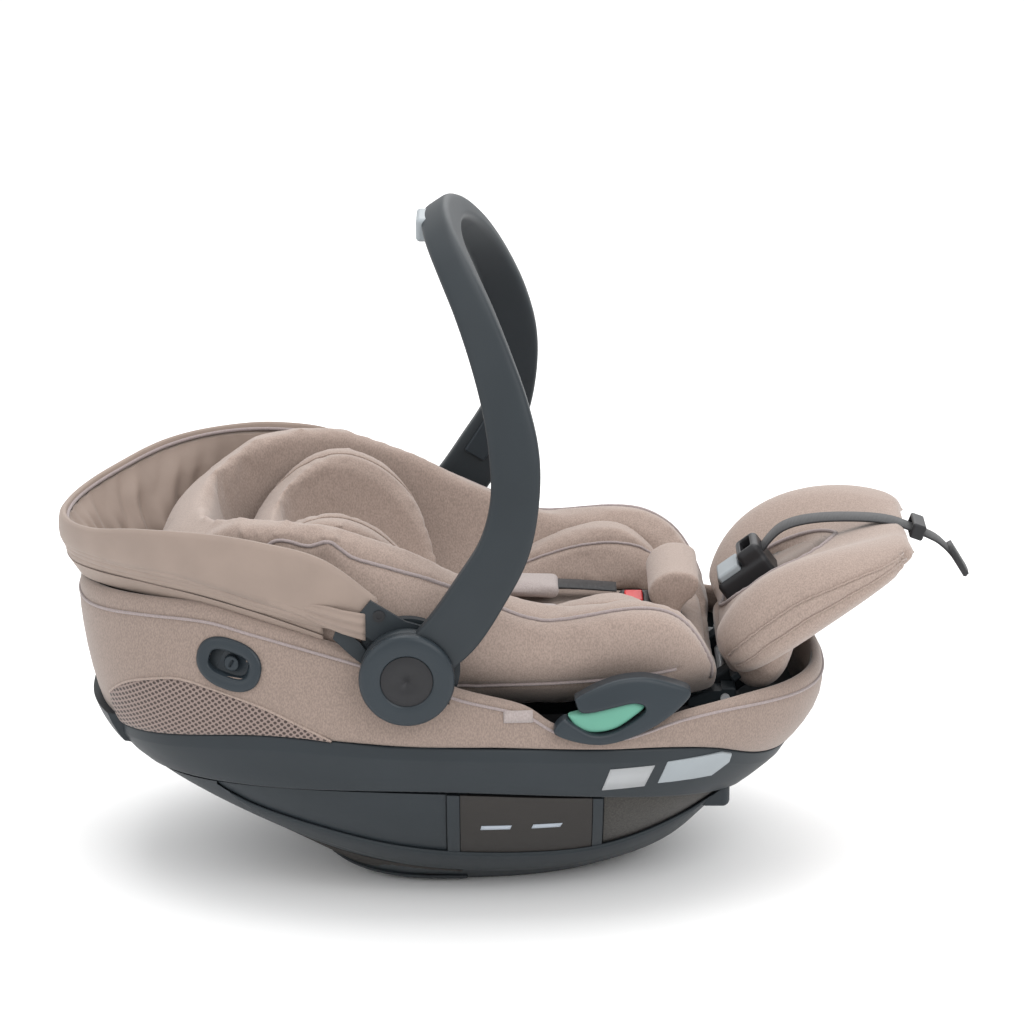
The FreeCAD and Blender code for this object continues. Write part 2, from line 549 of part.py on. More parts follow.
def build_bucket():
    outer = bucket_loft(BUCKET).common(slab(-400, BUCKET_END_X))
    pad = outer.cut(bucket_loft(CAVITY)).common(under(BUCKET_TOP))
    frame = pad.common(slab(-400, 188, z1=FRAME_TOP))
    pad = pad.cut(slab(-400, 400, z1=FRAME_TOP + FIT))
    for side in (1, -1):
        y0, y1 = sorted((side * 116.0, side * 128.0))
        lug = slab(RECLINE_X - 17, RECLINE_X + 17, y0, y1, 150, RECLINE_Z + 14)
        pad = pad.cut(slab(RECLINE_X - 17.1, RECLINE_X + 17.1, y0 - 0.1, y1 + 0.1, 150, RECLINE_Z + 14.1))
        frame = frame.fuse(lug)
    frame = frame.fuse(slab(RECLINE_X - 17, RECLINE_X + 40, -128, 128, 150, 158))
    pad = pad.cut(cylinder_y(15.0, -190, -128, RECLINE_X, RECLINE_Z))
    pad = pad.cut(cylinder_y(15.0, 128, 190, RECLINE_X, RECLINE_Z))
    pad = pad.cut(cylinder_y(5.4, -128, 128, RECLINE_X, RECLINE_Z))
    frame = frame.cut(cylinder_y(RECLINE_PIN_R + 0.05, -140, 140, RECLINE_X, RECLINE_Z))
    for y0 in LEG_LUG_Y:
        lug = box_round(170, LEG_X + 9, y0, y0 + LEG_LUG_W, LEG_Z - 9, LEG_Z + 9, 2.0)
        lug = lug.cut(slab(-400, 400, z0=FRAME_TOP, z1=400).common(slab(-400, 199)))
        frame = frame.fuse(lug)
    frame = frame.cut(cylinder_y(4.05, -120, 120, LEG_X, LEG_Z))
    pocket = slab(BUCKLE_X - 21, BUCKLE_X + 21, -30, 30, 150 + 4, 300)
    pad = pad.cut(pocket)
    for y0 in LEG_ARM_Y:
        pad = pad.cut(cylinder_y(16.5, y0 - 1, y0 + LEG_LUG_W + 1, LEG_X, LEG_Z))
    wall = hull(0.8).cut(hull(-WALL - 1.0)).common(under(SHELL_TOP, shift=4))
    socket = socket_room(4.0, 5.0)
    pad = pad.cut(wall).cut(socket).cut(mirrored(socket))
    pad = max(pad.Solids, key=lambda solid: solid.Volume)
    save("bucket_pad", pad)
    save("seat_frame", frame)


LEG_X, LEG_Z = 202.0, 160.0            # the leg rest's hinge on the seat frame
LEG_TILT = 36.5                        # the leg rest's slope at rest, degrees
LEG_LUG_Y, LEG_LUG_W = (-84.0, 64.0), 20.0
LEG_ARM_Y = (-62.0, 42.0)
BUCKLE_X = 128.0                       # harness buckle, on the centre plane


def build_harness():
    """Headrest, inlay cushions, harness pads and buckle."""
    head = bucket_loft(HEAD_OUTER, -120.0).cut(bucket_loft(HEAD_INNER, -100.0)).common(under(HEAD_TOP))
    save("head_cushion", head)
    save("headrest_slider", box_round(-170, -62, -50, 50, 186 + FIT, 190 - FIT, 1.5))
    pillow = box_round(-148, -72, -38, 38, 212 + FIT, 226, 6.5)
    save("head_pillow", pillow)

    floor = box_round(-6, 186, -80, 80, 186 + FIT, 204, 8.0)
    floor = floor.cut(slab(BUCKLE_X - 21, BUCKLE_X + 21, -30, 30, 150, 300))
    floor = floor.cut(slab(BUCKLE_X + 20, BUCKLE_X + 40.4, -13.8, 13.8, 150, 300))
    floor = floor.common(bucket_loft([(z, head + 0.5, foot - 0.5, half - 0.5) for z, head, foot, half in CAVITY]))
    save("seat_cushion", floor)
    hip_line = [(10, 200), (36, 234), (78, 252), (112, 256), (141, 240), (166, 205), (180, 180)]
    hip = bucket_loft([(r[0], r[1] + 6, r[2] - 6, r[3] - 5) for r in CAVITY])
    hip = hip.cut(bucket_loft([(r[0], r[1], r[2], r[3] - 34) for r in CAVITY]))
    hip = hip.common(under(hip_line)).common(slab(14, 172, 30, 200, 206, 400))
    save_pair("hip_cushion", hip)

    pad_section = box_round(-22, 62, 20, 62, 214, 226, 5.5)
    belt_slot = slab(-60, 100, 30, 55, 218.6, 221.4)
    strap = Part.makeBox(140, 24.0, 1.4, V(-28, 30.5, 219.3))
    save_pair("shoulder_pad", turned_y(pad_section.cut(belt_slot), 20, 220, 2))
    save_pair("shoulder_strap", turned_y(strap, 20, 220, 2))

    buckle = box_round(BUCKLE_X - 15, BUCKLE_X + 15, -24, 24, 200, 222, 5.0)
    plate = Part.makeBox(9, 36, 46, V(BUCKLE_X - 4.5, -18, FRAME_TOP + FIT))
    button_hole = slab(BUCKLE_X - 10.3, BUCKLE_X + 6.3, -14.3, 14.3, 215, 300)
    save("harness_buckle", buckle.fuse(plate).cut(button_hole))
    save("buckle_button", box_round(BUCKLE_X - 10, BUCKLE_X + 6, -14, 14, 218.2, 224.4, 1.8))

    crotch = rounded_prism([(138, 243), (150, 256), (168, 258), (181, 250), (176, 236), (166, 226), (160, 208),
                            (146, 205), (147, 222), (141, 230)], -44, 44)
    strap = Part.makeBox(24, 26, 1.6, V(BUCKLE_X + 15.3, -13, 208))
    strap = strap.fuse(Part.makeBox(1.6, 26, 22, V(BUCKLE_X + 38, -13, 187.0)))
    room = Part.makeBox(24.6, 27, 2.6, V(BUCKLE_X + 15, -13.5, 207.5))
    save("crotch_pad", crotch.cut(room).cut(slab(100, 220, z1=204.0 + GAP)))
    save("crotch_strap", strap.common(slab(0, BUCKLE_X + 39.6)))


# Leg rest, in its own frame: s along the slope from the hinge, n off the slope.
LEG_SECTIONS = [  # s, half width, underside, top at the middle, top of the side wings
    (24.0, 100.0, 10.0, 42.0, 48.0), (60.0, 126.0, 9.0, 49.0, 66.0), (105.0, 131.0, 9.0, 46.0, 68.0),
    (150.0, 126.0, 8.0, 34.0, 52.0), (182.0, 106.0, 5.0, 22.0, 32.0), (203.0, 70.0, 0.0, 10.0, 14.0)]
WINDOW_S0, WINDOW_S1, WINDOW_HALF, WINDOW_FLOOR = 36.0, 146.0, 37.0, 20.0
WINDOW_SHELF = 36.0                    # floor of the window past the adjuster
ADJ_S0, ADJ_S1, ADJ_HALF = 42.0, 92.0, 22.0
STRAP_W, STRAP_T = 25.0, 1.6
STRAP_ROUTE = [(222, 240), (236, 272), (262, 294), (337, 295.5), (369, 284), (395, 271), (411, 245)]


def leg_point(s, y, n):
    a = math.radians(LEG_TILT)
    return V(LEG_X + s * math.cos(a) - n * math.sin(a), y, LEG_Z + s * math.sin(a) + n * math.cos(a))


def from_leg(shape):
    """Places a shape drawn with s along +X and n along +Z onto the leg rest."""
    out = shape.copy()
    out.translate(V(LEG_X, 0, LEG_Z))
    return turned_y(out, LEG_X, LEG_Z, -LEG_TILT)


def build_leg_rest():
    wires = []
    for s, half, low, mid, wing in LEG_SECTIONS:
        right_side = [(0, mid), (0.4 * half, mid + 0.25 * (wing - mid)), (0.74 * half, wing),
                      (0.93 * half, low + 0.8 * (wing - low)), (half, low + 0.45 * (wing - low)),
                      (0.93 * half, low + 0.08 * (wing - low)), (0.7 * half, low), (0.35 * half, low)]
        left_side = [(-y, n) for y, n in reversed(right_side[1:])]
        ring = [leg_point(s, y, n) for y, n in right_side + [(0, low)] + left_side]
        wires.append(Part.Wire([curve([tuple(p) for p in ring], closed=True)]))
    pad = loft(wires)
    window = stadium(WINDOW_S0, WINDOW_S1, WINDOW_HALF, WINDOW_FLOOR, 120)
    window = from_leg(window.cut(slab(ADJ_S1 + 4, 200, -60, 60, 0, WINDOW_SHELF)))
    plate_room = from_leg(slab(0, 190, -84.3, 84.3, 0, 13.3))
    keeper_room = turned_y(slab(361.8, 374.2, -17.2, 17.2, 278.8, 292.7), 368, 285, 20)
    strap, strap_room = adjuster_strap(0.0), adjuster_strap(0.35)
    pad = pad.cut(window).cut(plate_room).cut(keeper_room).cut(strap_room)
    save("leg_pad", max(pad.Solids, key=lambda solid: solid.Volume))
    save("adjuster_strap", strap)

    plate = from_leg(box_round(14, 186, -84, 84, 6.5, 13, 1.5))
    for y0 in LEG_ARM_Y:
        arm = from_leg(box_round(-8, 40, y0, y0 + LEG_LUG_W, -8, 12.9, 2.0))
        plate = plate.fuse(arm)
    plate = plate.cut(cylinder_y(4.05, -120, 120, LEG_X, LEG_Z))
    save("leg_frame", plate)
    save("leg_hinge_pin", cylinder_y(3.98, -86, 86, LEG_X, LEG_Z))

    body = from_leg(box_round(ADJ_S0, ADJ_S1, -ADJ_HALF, ADJ_HALF, WINDOW_FLOOR + FIT, 66, 5.0))
    nose = from_leg(box_round(70, 92, -ADJ_HALF + 2, ADJ_HALF - 2, 40, 78, 5.0))
    button_room = from_leg(slab(45.5, 68.5, -17.3, 17.3, 58, 90))
    slot = from_leg(slab(76, 86, -STRAP_W / 2 - 0.6, STRAP_W / 2 + 0.6, 46, 90))
    body = body.fuse(nose).cut(button_room).cut(slot).cut(strap_room)
    save("adjuster_housing", body)
    save("adjuster_button", from_leg(box_round(46, 68, -17, 17, 62.5, 71, 2.5)))

    keeper = box_round(362, 374, -17, 17, 279, 292.5, 2.0).cut(slab(350, 390, -13.2, 13.2, 281.5, 290))
    keeper = turned_y(keeper, 368, 285, 20)
    save("strap_keeper", keeper)


def adjuster_strap(around):
    """The webbing strap along its route, or with clearance round it."""
    wire = rounded_route([(x, 0, z) for x, z in STRAP_ROUTE])
    first, second = V(STRAP_ROUTE[0][0], 0, STRAP_ROUTE[0][1]), V(STRAP_ROUTE[1][0], 0, STRAP_ROUTE[1][1])
    across = (second - first).normalize().cross(V(0, 1, 0))
    corners = [first + across * (k * (STRAP_T / 2 + around)) + V(0, m * (STRAP_W / 2 + around), 0)
               for k, m in ((-1, -1), (1, -1), (1, 1), (-1, 1))]
    section = Part.makePolygon(corners + corners[:1])
    return wire.makePipeShell([section], True, False)


def stadium(x0, x1, half, z0, z1):
    """An upright prism with straight sides and round ends."""
    ends = [Part.makeCylinder(half, z1 - z0, V(x, 0, z0)) for x in (x0 + half, x1 - half)]
    return Part.makeBox(x1 - x0 - 2 * half, 2 * half, z1 - z0, V(x0 + half, -half, z0)).fuse(ends[0]).fuse(ends[1])


def rounded_route(points):
    """Straight runs joined by tangent arcs; prints the arcs' radii."""
    pts = [V(*p) for p in points]
    edges, start, radii = [], pts[0], []
    for before, corner, after in zip(pts, pts[1:], pts[2:]):
        a, b = (before - corner), (after - corner)
        turn = math.pi - a.getAngle(b)
        reach = 0.45 * min(a.Length, b.Length)
        radii.append(reach / math.tan(turn / 2))
        p, q = corner + a.normalize() * reach, corner + b.normalize() * reach
        bisector = (a + b).normalize()
        middle = corner + bisector * (math.hypot(reach, radii[-1]) - radii[-1])
        edges.append(Part.LineSegment(start, p).toShape())
        edges.append(Part.Arc(p, middle, q).toShape())
        start = q
    edges.append(Part.LineSegment(start, pts[-1]).toShape())
    print("route radii", " ".join("%.1f" % r for r in radii))
    return Part.Wire(edges)


# Side release lever: outline in side view.
LEVER = [(142, 118), (188, 116), (203, 127), (205, 135), (196, 139), (150, 139)]


def lever_prism(grow=0.0):
    return grown_prism(LEVER, grow, 60, 260)


def build_levers():
    lever = hull(SKIN + 3.5).cut(hull(1.2)).common(lever_prism())
    save_pair("release_lever", lever)


def main():
    os.makedirs(OUT, exist_ok=True)
    build_shell()
    build_fixed_hardware()
    build_bumper()
    build_handle()
    build_canopy()
    build_bucket()
    build_harness()
    build_leg_rest()
    build_levers()


main()
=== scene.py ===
"""Looks of the lie-flat infant car seat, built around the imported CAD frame. Metres throughout."""

import json
import math

import bmesh
import bpy
import numpy as np
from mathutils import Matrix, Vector, noise
from mathutils.bvhtree import BVHTree


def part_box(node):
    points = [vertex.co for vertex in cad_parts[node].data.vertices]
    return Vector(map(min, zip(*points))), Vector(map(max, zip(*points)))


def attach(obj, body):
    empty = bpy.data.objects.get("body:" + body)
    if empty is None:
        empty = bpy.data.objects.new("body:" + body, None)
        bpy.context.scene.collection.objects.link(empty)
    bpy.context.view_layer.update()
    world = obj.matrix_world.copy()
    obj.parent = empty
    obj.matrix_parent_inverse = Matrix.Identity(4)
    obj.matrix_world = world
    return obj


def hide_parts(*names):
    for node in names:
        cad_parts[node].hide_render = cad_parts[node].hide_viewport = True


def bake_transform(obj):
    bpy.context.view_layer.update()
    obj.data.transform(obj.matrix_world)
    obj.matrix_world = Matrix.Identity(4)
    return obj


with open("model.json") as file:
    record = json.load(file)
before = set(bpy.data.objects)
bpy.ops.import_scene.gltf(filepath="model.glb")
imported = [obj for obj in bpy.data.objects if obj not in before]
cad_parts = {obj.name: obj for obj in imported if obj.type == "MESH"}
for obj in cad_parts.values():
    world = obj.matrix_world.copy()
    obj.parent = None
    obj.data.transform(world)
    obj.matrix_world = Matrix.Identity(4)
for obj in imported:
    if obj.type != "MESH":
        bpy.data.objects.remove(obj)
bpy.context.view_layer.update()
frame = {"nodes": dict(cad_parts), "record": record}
noise.seed_set(7)
MM = 0.001
RUMPLE_SCALE = 18.0
WELD = 0.00002
SIDES = ((1, "left"), (-1, "right"))

# ---- dimensions shared with the part
PIVOT = (-0.065, 0.0, 0.223)
SKIN = 6.0
WIDEST_X = -40.0
OUTLINE_POWER = 2.4
HULL = np.array([
    (0.0, -122.0, 116.0, 94.0), (15.0, -142.0, 152.0, 118.0), (38.0, -176.0, 183.0, 146.0),
    (65.0, -230.0, 208.0, 171.0), (90.0, -275.0, 238.0, 188.0), (115.0, -310.0, 265.0, 199.0),
    (140.0, -329.0, 284.0, 205.0), (165.0, -338.0, 290.0, 206.0), (200.0, -346.0, 288.0, 201.0),
    (235.0, -350.0, 285.0, 192.0), (275.0, -350.0, 283.0, 187.0)])
RIM_TOP = [(-365, 128), (-318, 140), (-194, 164), (-71, 160), (61, 156), (176, 146), (235, 122), (310, 92)]
RIM_BOTTOM = [(-365, 92), (-300, 104), (-235, 113), (-71, 119), (61, 112), (176, 94), (235, 74), (310, 50)]
SHELL_TOP = [(-365, 250), (-345, 252), (-290, 262), (-236, 265), (-195, 257), (-150, 246), (-105, 234),
    (-60, 220), (-22, 204), (30, 190), (60, 172), (110, 163), (165, 176), (225, 180), (310, 174)]
STRAP_ROUTE = [(0.222, 0.240), (0.236, 0.272), (0.262, 0.294), (0.337, 0.2955), (0.369, 0.284),
    (0.395, 0.271), (0.411, 0.245)]
HANDLE_LINE = [
    (-54.0, 205.9, 234.0, 40.0, 15.0, -45.0), (-39.0, 206.0, 249.0, 44.0, 17.0, -43.0),
    (-24.0, 206.0, 266.0, 46.0, 18.2, -38.0), (-6.0, 205.5, 294.0, 45.0, 18.5, -30.0),
    (14.0, 203.5, 330.0, 42.0, 18.0, -20.0), (23.0, 199.0, 368.0, 40.0, 17.5, -4.0),
    (23.0, 192.0, 406.0, 41.0, 17.5, 6.0), (16.0, 180.0, 443.0, 38.0, 18.0, 17.0),
    (4.0, 161.0, 479.0, 34.0, 19.5, 26.0), (-10.0, 133.0, 511.0, 31.0, 21.5, 31.0),
    (-24.0, 98.0, 535.0, 29.0, 24.0, 33.0), (-34.0, 58.0, 549.0, 28.0, 26.0, 34.0),
    (-38.0, 20.0, 554.5, 28.0, 27.0, 34.0)]


# ---- camera, light and floor
LENS, SENSOR = 160.3, 36.0
CAMERA_PLACE, CAMERA_DOWN = (0.02105, -3.72914, 1.47472), 17.5
FLOOR_HALF = 30.0
WORLD_LIGHT = 0.9
LIGHTS = (  # name, place, watts, size
    ("key", (1.7, -2.2, 2.4), 38.0, 2.2), ("fill", (-2.2, -1.8, 1.8), 15.0, 2.4),
    ("top", (0.0, 0.4, 3.0), 48.0, 2.6), ("rim", (0.6, 2.6, 1.8), 22.0, 2.0))
AIM = Vector((0, 0, 0.2))


def build_stage():
    camera_data = bpy.data.cameras.new("camera")
    camera_data.lens, camera_data.sensor_width = LENS, SENSOR
    camera = bpy.data.objects.new("camera", camera_data)
    camera.location = CAMERA_PLACE
    camera.rotation_euler = (math.radians(90.0 - CAMERA_DOWN), 0.0, 0.0)
    bpy.context.collection.objects.link(camera)
    bpy.context.scene.camera = camera

    floor_mesh = bpy.data.meshes.new("floor")
    h = FLOOR_HALF
    floor_mesh.from_pydata([(-h, -h, 0), (h, -h, 0), (h, h, 0), (-h, h, 0)], [], [(0, 1, 2, 3)])
    floor = bpy.data.objects.new("floor", floor_mesh)
    bpy.context.collection.objects.link(floor)
    floor.data.materials.append(flat_material("floor_white", (1.0, 1.0, 1.0), 0.9))

    for name, place, power, size in LIGHTS:
        light_data = bpy.data.lights.new(name, "AREA")
        light_data.energy, light_data.size = power, size
        light = bpy.data.objects.new(name, light_data)
        light.location = place
        light.rotation_euler = (AIM - Vector(place)).to_track_quat("-Z", "Y").to_euler()
        bpy.context.collection.objects.link(light)
    world = bpy.data.worlds.new("studio")
    bpy.context.scene.world = world
    world.use_nodes = True
    background = world.node_tree.nodes["Background"]
    background.inputs["Color"].default_value = (1.0, 1.0, 1.0, 1.0)
    background.inputs["Strength"].default_value = WORLD_LIGHT
    bpy.context.scene.view_settings.view_transform = "Standard"


# ---- materials
def new_material(name, roughness, sheen=0.0):
    material = bpy.data.materials.new(name)
    material.use_nodes = True
    shader = material.node_tree.nodes["Principled BSDF"]
    shader.inputs["Roughness"].default_value = roughness
    shader.inputs["Sheen Weight"].default_value = sheen
    return material, material.node_tree, shader


def flat_material(name, colour, roughness):
    material, tree, shader = new_material(name, roughness)
    shader.inputs["Base Color"].default_value = (*colour, 1.0)
    return material


def add(tree, kind, **inputs):
    node = tree.nodes.new(kind)
    for key, value in inputs.items():
        node.inputs[key.replace("_", " ")].default_value = value
    return node


def object_place(tree):
    return tree.nodes.new("ShaderNodeTexCoord").outputs["Object"]


def noise_at(tree, scale, detail=3.0, stretch=(1, 1, 1)):
    mapping = tree.nodes.new("ShaderNodeMapping")
    mapping.inputs["Scale"].default_value = stretch
    tree.links.new(object_place(tree), mapping.inputs["Vector"])
    grain = add(tree, "ShaderNodeTexNoise", Scale=scale, Detail=detail)
    tree.links.new(mapping.outputs["Vector"], grain.inputs["Vector"])
    return grain


def ramp(tree, source, stops):
    node = tree.nodes.new("ShaderNodeValToRGB")
    while len(node.color_ramp.elements) < len(stops):
        node.color_ramp.elements.new(0.5)
    for element, (position, colour) in zip(node.color_ramp.elements, stops):
        element.position, element.color = position, (*colour, 1.0)
    tree.links.new(source, node.inputs["Fac"])
    return node


def colour_by(tree, shader, source, stops):
    tree.links.new(ramp(tree, source, stops).outputs["Color"], shader.inputs["Base Color"])


def bump(tree, shader, source, strength, distance):
    node = add(tree, "ShaderNodeBump", Strength=strength, Distance=distance)
    tree.links.new(source, node.inputs["Height"])
    tree.links.new(node.outputs["Normal"], shader.inputs["Normal"])


def mix(tree, factor, a, b):
    node = tree.nodes.new("ShaderNodeMix")
    node.data_type = "RGBA"
    node.inputs[0].default_value = factor
    tree.links.new(a, node.inputs[6])
    tree.links.new(b, node.inputs[7])
    return node.outputs[2]


def shade(colour, factor):
    return tuple(min(1.0, c * factor) for c in colour)


def knit(name, colour, contrast=0.22, thread=900.0, sheen=0.25, blotch=0.05):
    """Melange knit: fine light and dark threads, slow blotches, soft sheen and a stitch-sized bump."""
    material, tree, shader = new_material(name, 0.92, sheen)
    fine = noise_at(tree, thread, 2.0, (1.0, 1.0, 0.55))
    threads = ramp(tree, fine.outputs["Fac"], [(0.36, shade(colour, 1 - contrast)), (0.5, colour),
        (0.64, shade(colour, 1 + contrast))])
    slow = noise_at(tree, 22.0, 3.0)
    blotches = ramp(tree, slow.outputs["Fac"], [(0.3, shade(colour, 1 - blotch)),
        (0.7, shade(colour, 1 + blotch))])
    shader_colour = mix(tree, 0.35, threads.outputs["Color"], blotches.outputs["Color"])
    tree.links.new(shader_colour, shader.inputs["Base Color"])
    stitches = noise_at(tree, thread * 0.8, 1.0, (1.0, 1.0, 0.5))
    bump(tree, shader, stitches.outputs["Fac"], 0.35, 0.0006)
    return material


def woven(name, colour, sheen=0.12, roughness=0.7):
    """Plain canvas: crossing threads finer than a millimetre with a little gloss."""
    material, tree, shader = new_material(name, roughness, sheen)
    place = object_place(tree)
    heights = []
    for direction in ("X", "Z"):
        wave = add(tree, "ShaderNodeTexWave", Scale=480.0, Distortion=0.6, Detail=1.0)
        wave.bands_direction = direction
        tree.links.new(place, wave.inputs["Vector"])
        heights.append(wave.outputs["Fac"])
    total = tree.nodes.new("ShaderNodeMath")
    total.operation = "ADD"
    tree.links.new(heights[0], total.inputs[0])
    tree.links.new(heights[1], total.inputs[1])
    bump(tree, shader, total.outputs[0], 0.12, 0.0003)
    slow = noise_at(tree, 30.0, 4.0)
    colour_by(tree, shader, slow.outputs["Fac"], [(0.3, shade(colour, 0.94)), (0.7, shade(colour, 1.05))])
    return material


def plastic(name, colour, roughness=0.5, grain=1400.0, strength=0.12):
    """Moulded plastic: fine spark-eroded grain, slight colour drift."""
    material, tree, shader = new_material(name, roughness)
    shader.inputs["Specular IOR Level"].default_value = 0.3
    texture = noise_at(tree, grain, 2.0)
    bump(tree, shader, texture.outputs["Fac"], strength, 0.0002)
    slow = noise_at(tree, 14.0, 3.0)
    colour_by(tree, shader, slow.outputs["Fac"], [(0.3, shade(colour, 0.93)), (0.7, shade(colour, 1.07))])
    return material


def spacer_mesh(name, colour, hole_shade):
    """Spacer mesh: rows of round holes about 4 mm apart, seen from the side, with the holes painted dark as
    shade inside them.
    """
    material, tree, shader = new_material(name, 0.85, 0.15)
    place = object_place(tree)
    mapping = tree.nodes.new("ShaderNodeMapping")
    mapping.inputs["Rotation"].default_value = (0.0, math.radians(38.0), 0.0)
    mapping.inputs["Scale"].default_value = (1.0, 0.0, 1.15)
    tree.links.new(place, mapping.inputs["Vector"])
    cells = add(tree, "ShaderNodeTexVoronoi", Scale=250.0, Randomness=0.0)
    tree.links.new(mapping.outputs["Vector"], cells.inputs["Vector"])
    # Dark colour in the holes: painted shade inside them.
    colour_by(tree, shader, cells.outputs["Distance"], [(0.30, hole_shade), (0.42, colour)])
    bump(tree, shader, cells.outputs["Distance"], 0.5, 0.0012)
    return material


def webbing(name, colour):
    """Flat webbing: ribs across the strap, coloured lighter on the ribs and darker in the grooves as painted
    highlight and painted shade.
    """
    material, tree, shader = new_material(name, 0.6, 0.1)
    place = object_place(tree)
    ribs = add(tree, "ShaderNodeTexWave", Scale=260.0, Distortion=0.3)
    ribs.bands_direction = "X"
    tree.links.new(place, ribs.inputs["Vector"])
    bump(tree, shader, ribs.outputs["Fac"], 0.5, 0.0004)
    # Colour follows the rib height: painted shade in the grooves, painted highlight on the ribs.
    colour_by(tree, shader, ribs.outputs["Fac"], [(0.2, shade(colour, 0.7)), (0.8, shade(colour, 1.4))])
    return material


MAUVE = (0.315, 0.243, 0.207)
# A darker copy of MAUVE for the shell cover, which is the same cloth as the pads: painted shade on its sides.
SHADED_COVER_MAUVE = (0.252, 0.193, 0.163)
LIGHT_MAUVE = (0.34, 0.292, 0.28)
CANVAS = (0.275, 0.212, 0.177)
SLATE = (0.021, 0.027, 0.032)
BROWN_BLACK = (0.028, 0.025, 0.023)
MATERIALS = {
    "shell_cloth": knit("shell_cloth_knit", MAUVE),
    # cover cloth: the pad knit made darker, as painted shade
    "cover_cloth": knit("cover_knit_painted_shade", SHADED_COVER_MAUVE),
    "grey_cloth": knit("grey_cloth_knit", LIGHT_MAUVE, 0.15),
    "piping": knit("piping_cloth", (0.30, 0.25, 0.245), 0.15),
    "canopy_cloth": woven("canopy_canvas", CANVAS),
    # the spacer mesh's second colour is the painted shade in its holes
    "mesh_cloth": spacer_mesh("spacer_mesh", (0.25, 0.19, 0.168), (0.05, 0.034, 0.03)),
    "slate_plastic": plastic("slate_plastic_grain", SLATE, 0.48),
    "slate_satin": plastic("slate_plastic_satin", (0.022, 0.03, 0.037), 0.36, 900.0, 0.05),
    "black_plastic": plastic("black_plastic_satin", (0.018, 0.018, 0.02), 0.45),
    "brown_plastic": plastic("brown_plastic_grain", BROWN_BLACK, 0.55),
    "lining_cloth": knit("dark_lining", (0.035, 0.032, 0.028), 0.5, 700.0, 0.1),
    "foam": plastic("beaded_foam", (0.05, 0.05, 0.055), 0.8, 300.0, 0.5),
    "steel": plastic("zinc_steel", (0.55, 0.56, 0.58), 0.35),
    "green_plastic": plastic("green_plastic_satin", (0.125, 0.34, 0.255), 0.42),
    "grey_plastic": plastic("grey_plastic_satin", (0.30, 0.33, 0.35), 0.42),
    "red_plastic": plastic("red_plastic_satin", (0.55, 0.03, 0.035), 0.4),
    "black_webbing": webbing("black_webbing_ribs", (0.012, 0.012, 0.014)),
    "black_cloth": webbing("black_tape", (0.012, 0.012, 0.014)),
    "silver_print": plastic("silver_reflector", (0.36, 0.40, 0.45), 0.35),
    "white_print": plastic("blank_label", (0.36, 0.37, 0.38), 0.5),
}


# ---- mesh helpers
def piece(name, verts, faces, material, body, slot=None, smooth=True):
    mesh = bpy.data.meshes.new(name)
    mesh.from_pydata([tuple(v) for v in verts], [], faces)
    mesh.validate()
    mesh.update()
    return dress(name, mesh, material, body, slot, smooth)


def linked(name, data):
    obj = bpy.data.objects.new(name, data)
    bpy.context.collection.objects.link(obj)
    return obj


def dress(name, mesh, material, body, slot=None, smooth=True):
    mesh.materials.clear()
    mesh.materials.append(MATERIALS[material])
    mesh.polygons.foreach_set("use_smooth", [smooth] * len(mesh.polygons))
    obj = linked(name, mesh)
    if body:
        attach(obj, body)
    slot or material
    return obj


def grid_faces(nu, nv, closed_u, closed_v, caps):
    faces = []
    for i in range(nu if closed_u else nu - 1):
        for j in range(nv if closed_v else nv - 1):
            a, b = i * nv + j, ((i + 1) % nu) * nv + j
            c, d = ((i + 1) % nu) * nv + (j + 1) % nv, i * nv + (j + 1) % nv
            faces.append((a, b, c, d))
    if caps and closed_v and not closed_u:
        faces.append(tuple(range(nv))[::-1])
        faces.append(tuple((nu - 1) * nv + j for j in range(nv)))
    return faces


def grid(name, points, material, body, slot=None, closed_u=False, closed_v=False, caps=False):
    points = np.asarray(points, float)
    nu, nv = points.shape[:2]
    faces = grid_faces(nu, nv, closed_u, closed_v, caps)
    obj = piece(name, points.reshape(-1, 3), faces, material, body, slot)
    outward(obj)
    return obj


def outward(obj):
    """Turns a closed mesh's faces outward, which bump and thickness need."""
    work = bmesh.new()
    work.from_mesh(obj.data)
    bmesh.ops.recalc_face_normals(work, faces=work.faces)
    work.to_mesh(obj.data)
    work.free()


def smooth_line(points, count):
    """Catmull-Rom curve through the points, rows of any width, sampled evenly in the index."""
    p = np.asarray(points, float)
    p = np.vstack([2 * p[0] - p[1], p, 2 * p[-1] - p[-2]])
    out = []
    for s in np.linspace(0, len(p) - 3 - 1e-9, count):
        k, f = int(s), s - int(s)
        a, b, c, d = p[k:k + 4]
        out.append(0.5 * (2 * b + (c - a) * f + (2 * a - 5 * b + 4 * c - d) * f ** 2
            + (3 * b - a - 3 * c + d) * f ** 3))
    return np.array(out)


def side_line(points):
    """A side view line as a function from x to z, both in millimetres."""
    fine = smooth_line(points, 400)
    order = np.argsort(fine[:, 0])
    xs, zs = fine[order, 0], fine[order, 1]
    return lambda x: np.interp(x, xs, zs)


HULL_FINE = smooth_line(HULL, 400)


def hull_point(t, z, offset):
    """The boat shape's outline at angle t and height z, in millimetres; vectorised."""
    head, foot, half = (np.interp(z, HULL_FINE[:, 0], HULL_FINE[:, k]) for k in (1, 2, 3))
    grow = offset - SKIN
    c, s = np.cos(t), np.sin(t)
    reach = np.where(c > 0, foot + grow - WIDEST_X, WIDEST_X - head + grow)
    x = WIDEST_X + reach * np.sign(c) * np.abs(c) ** (2 / OUTLINE_POWER)
    y = (half + grow) * np.sign(s) * np.abs(s) ** (2 / OUTLINE_POWER)
    return x, y


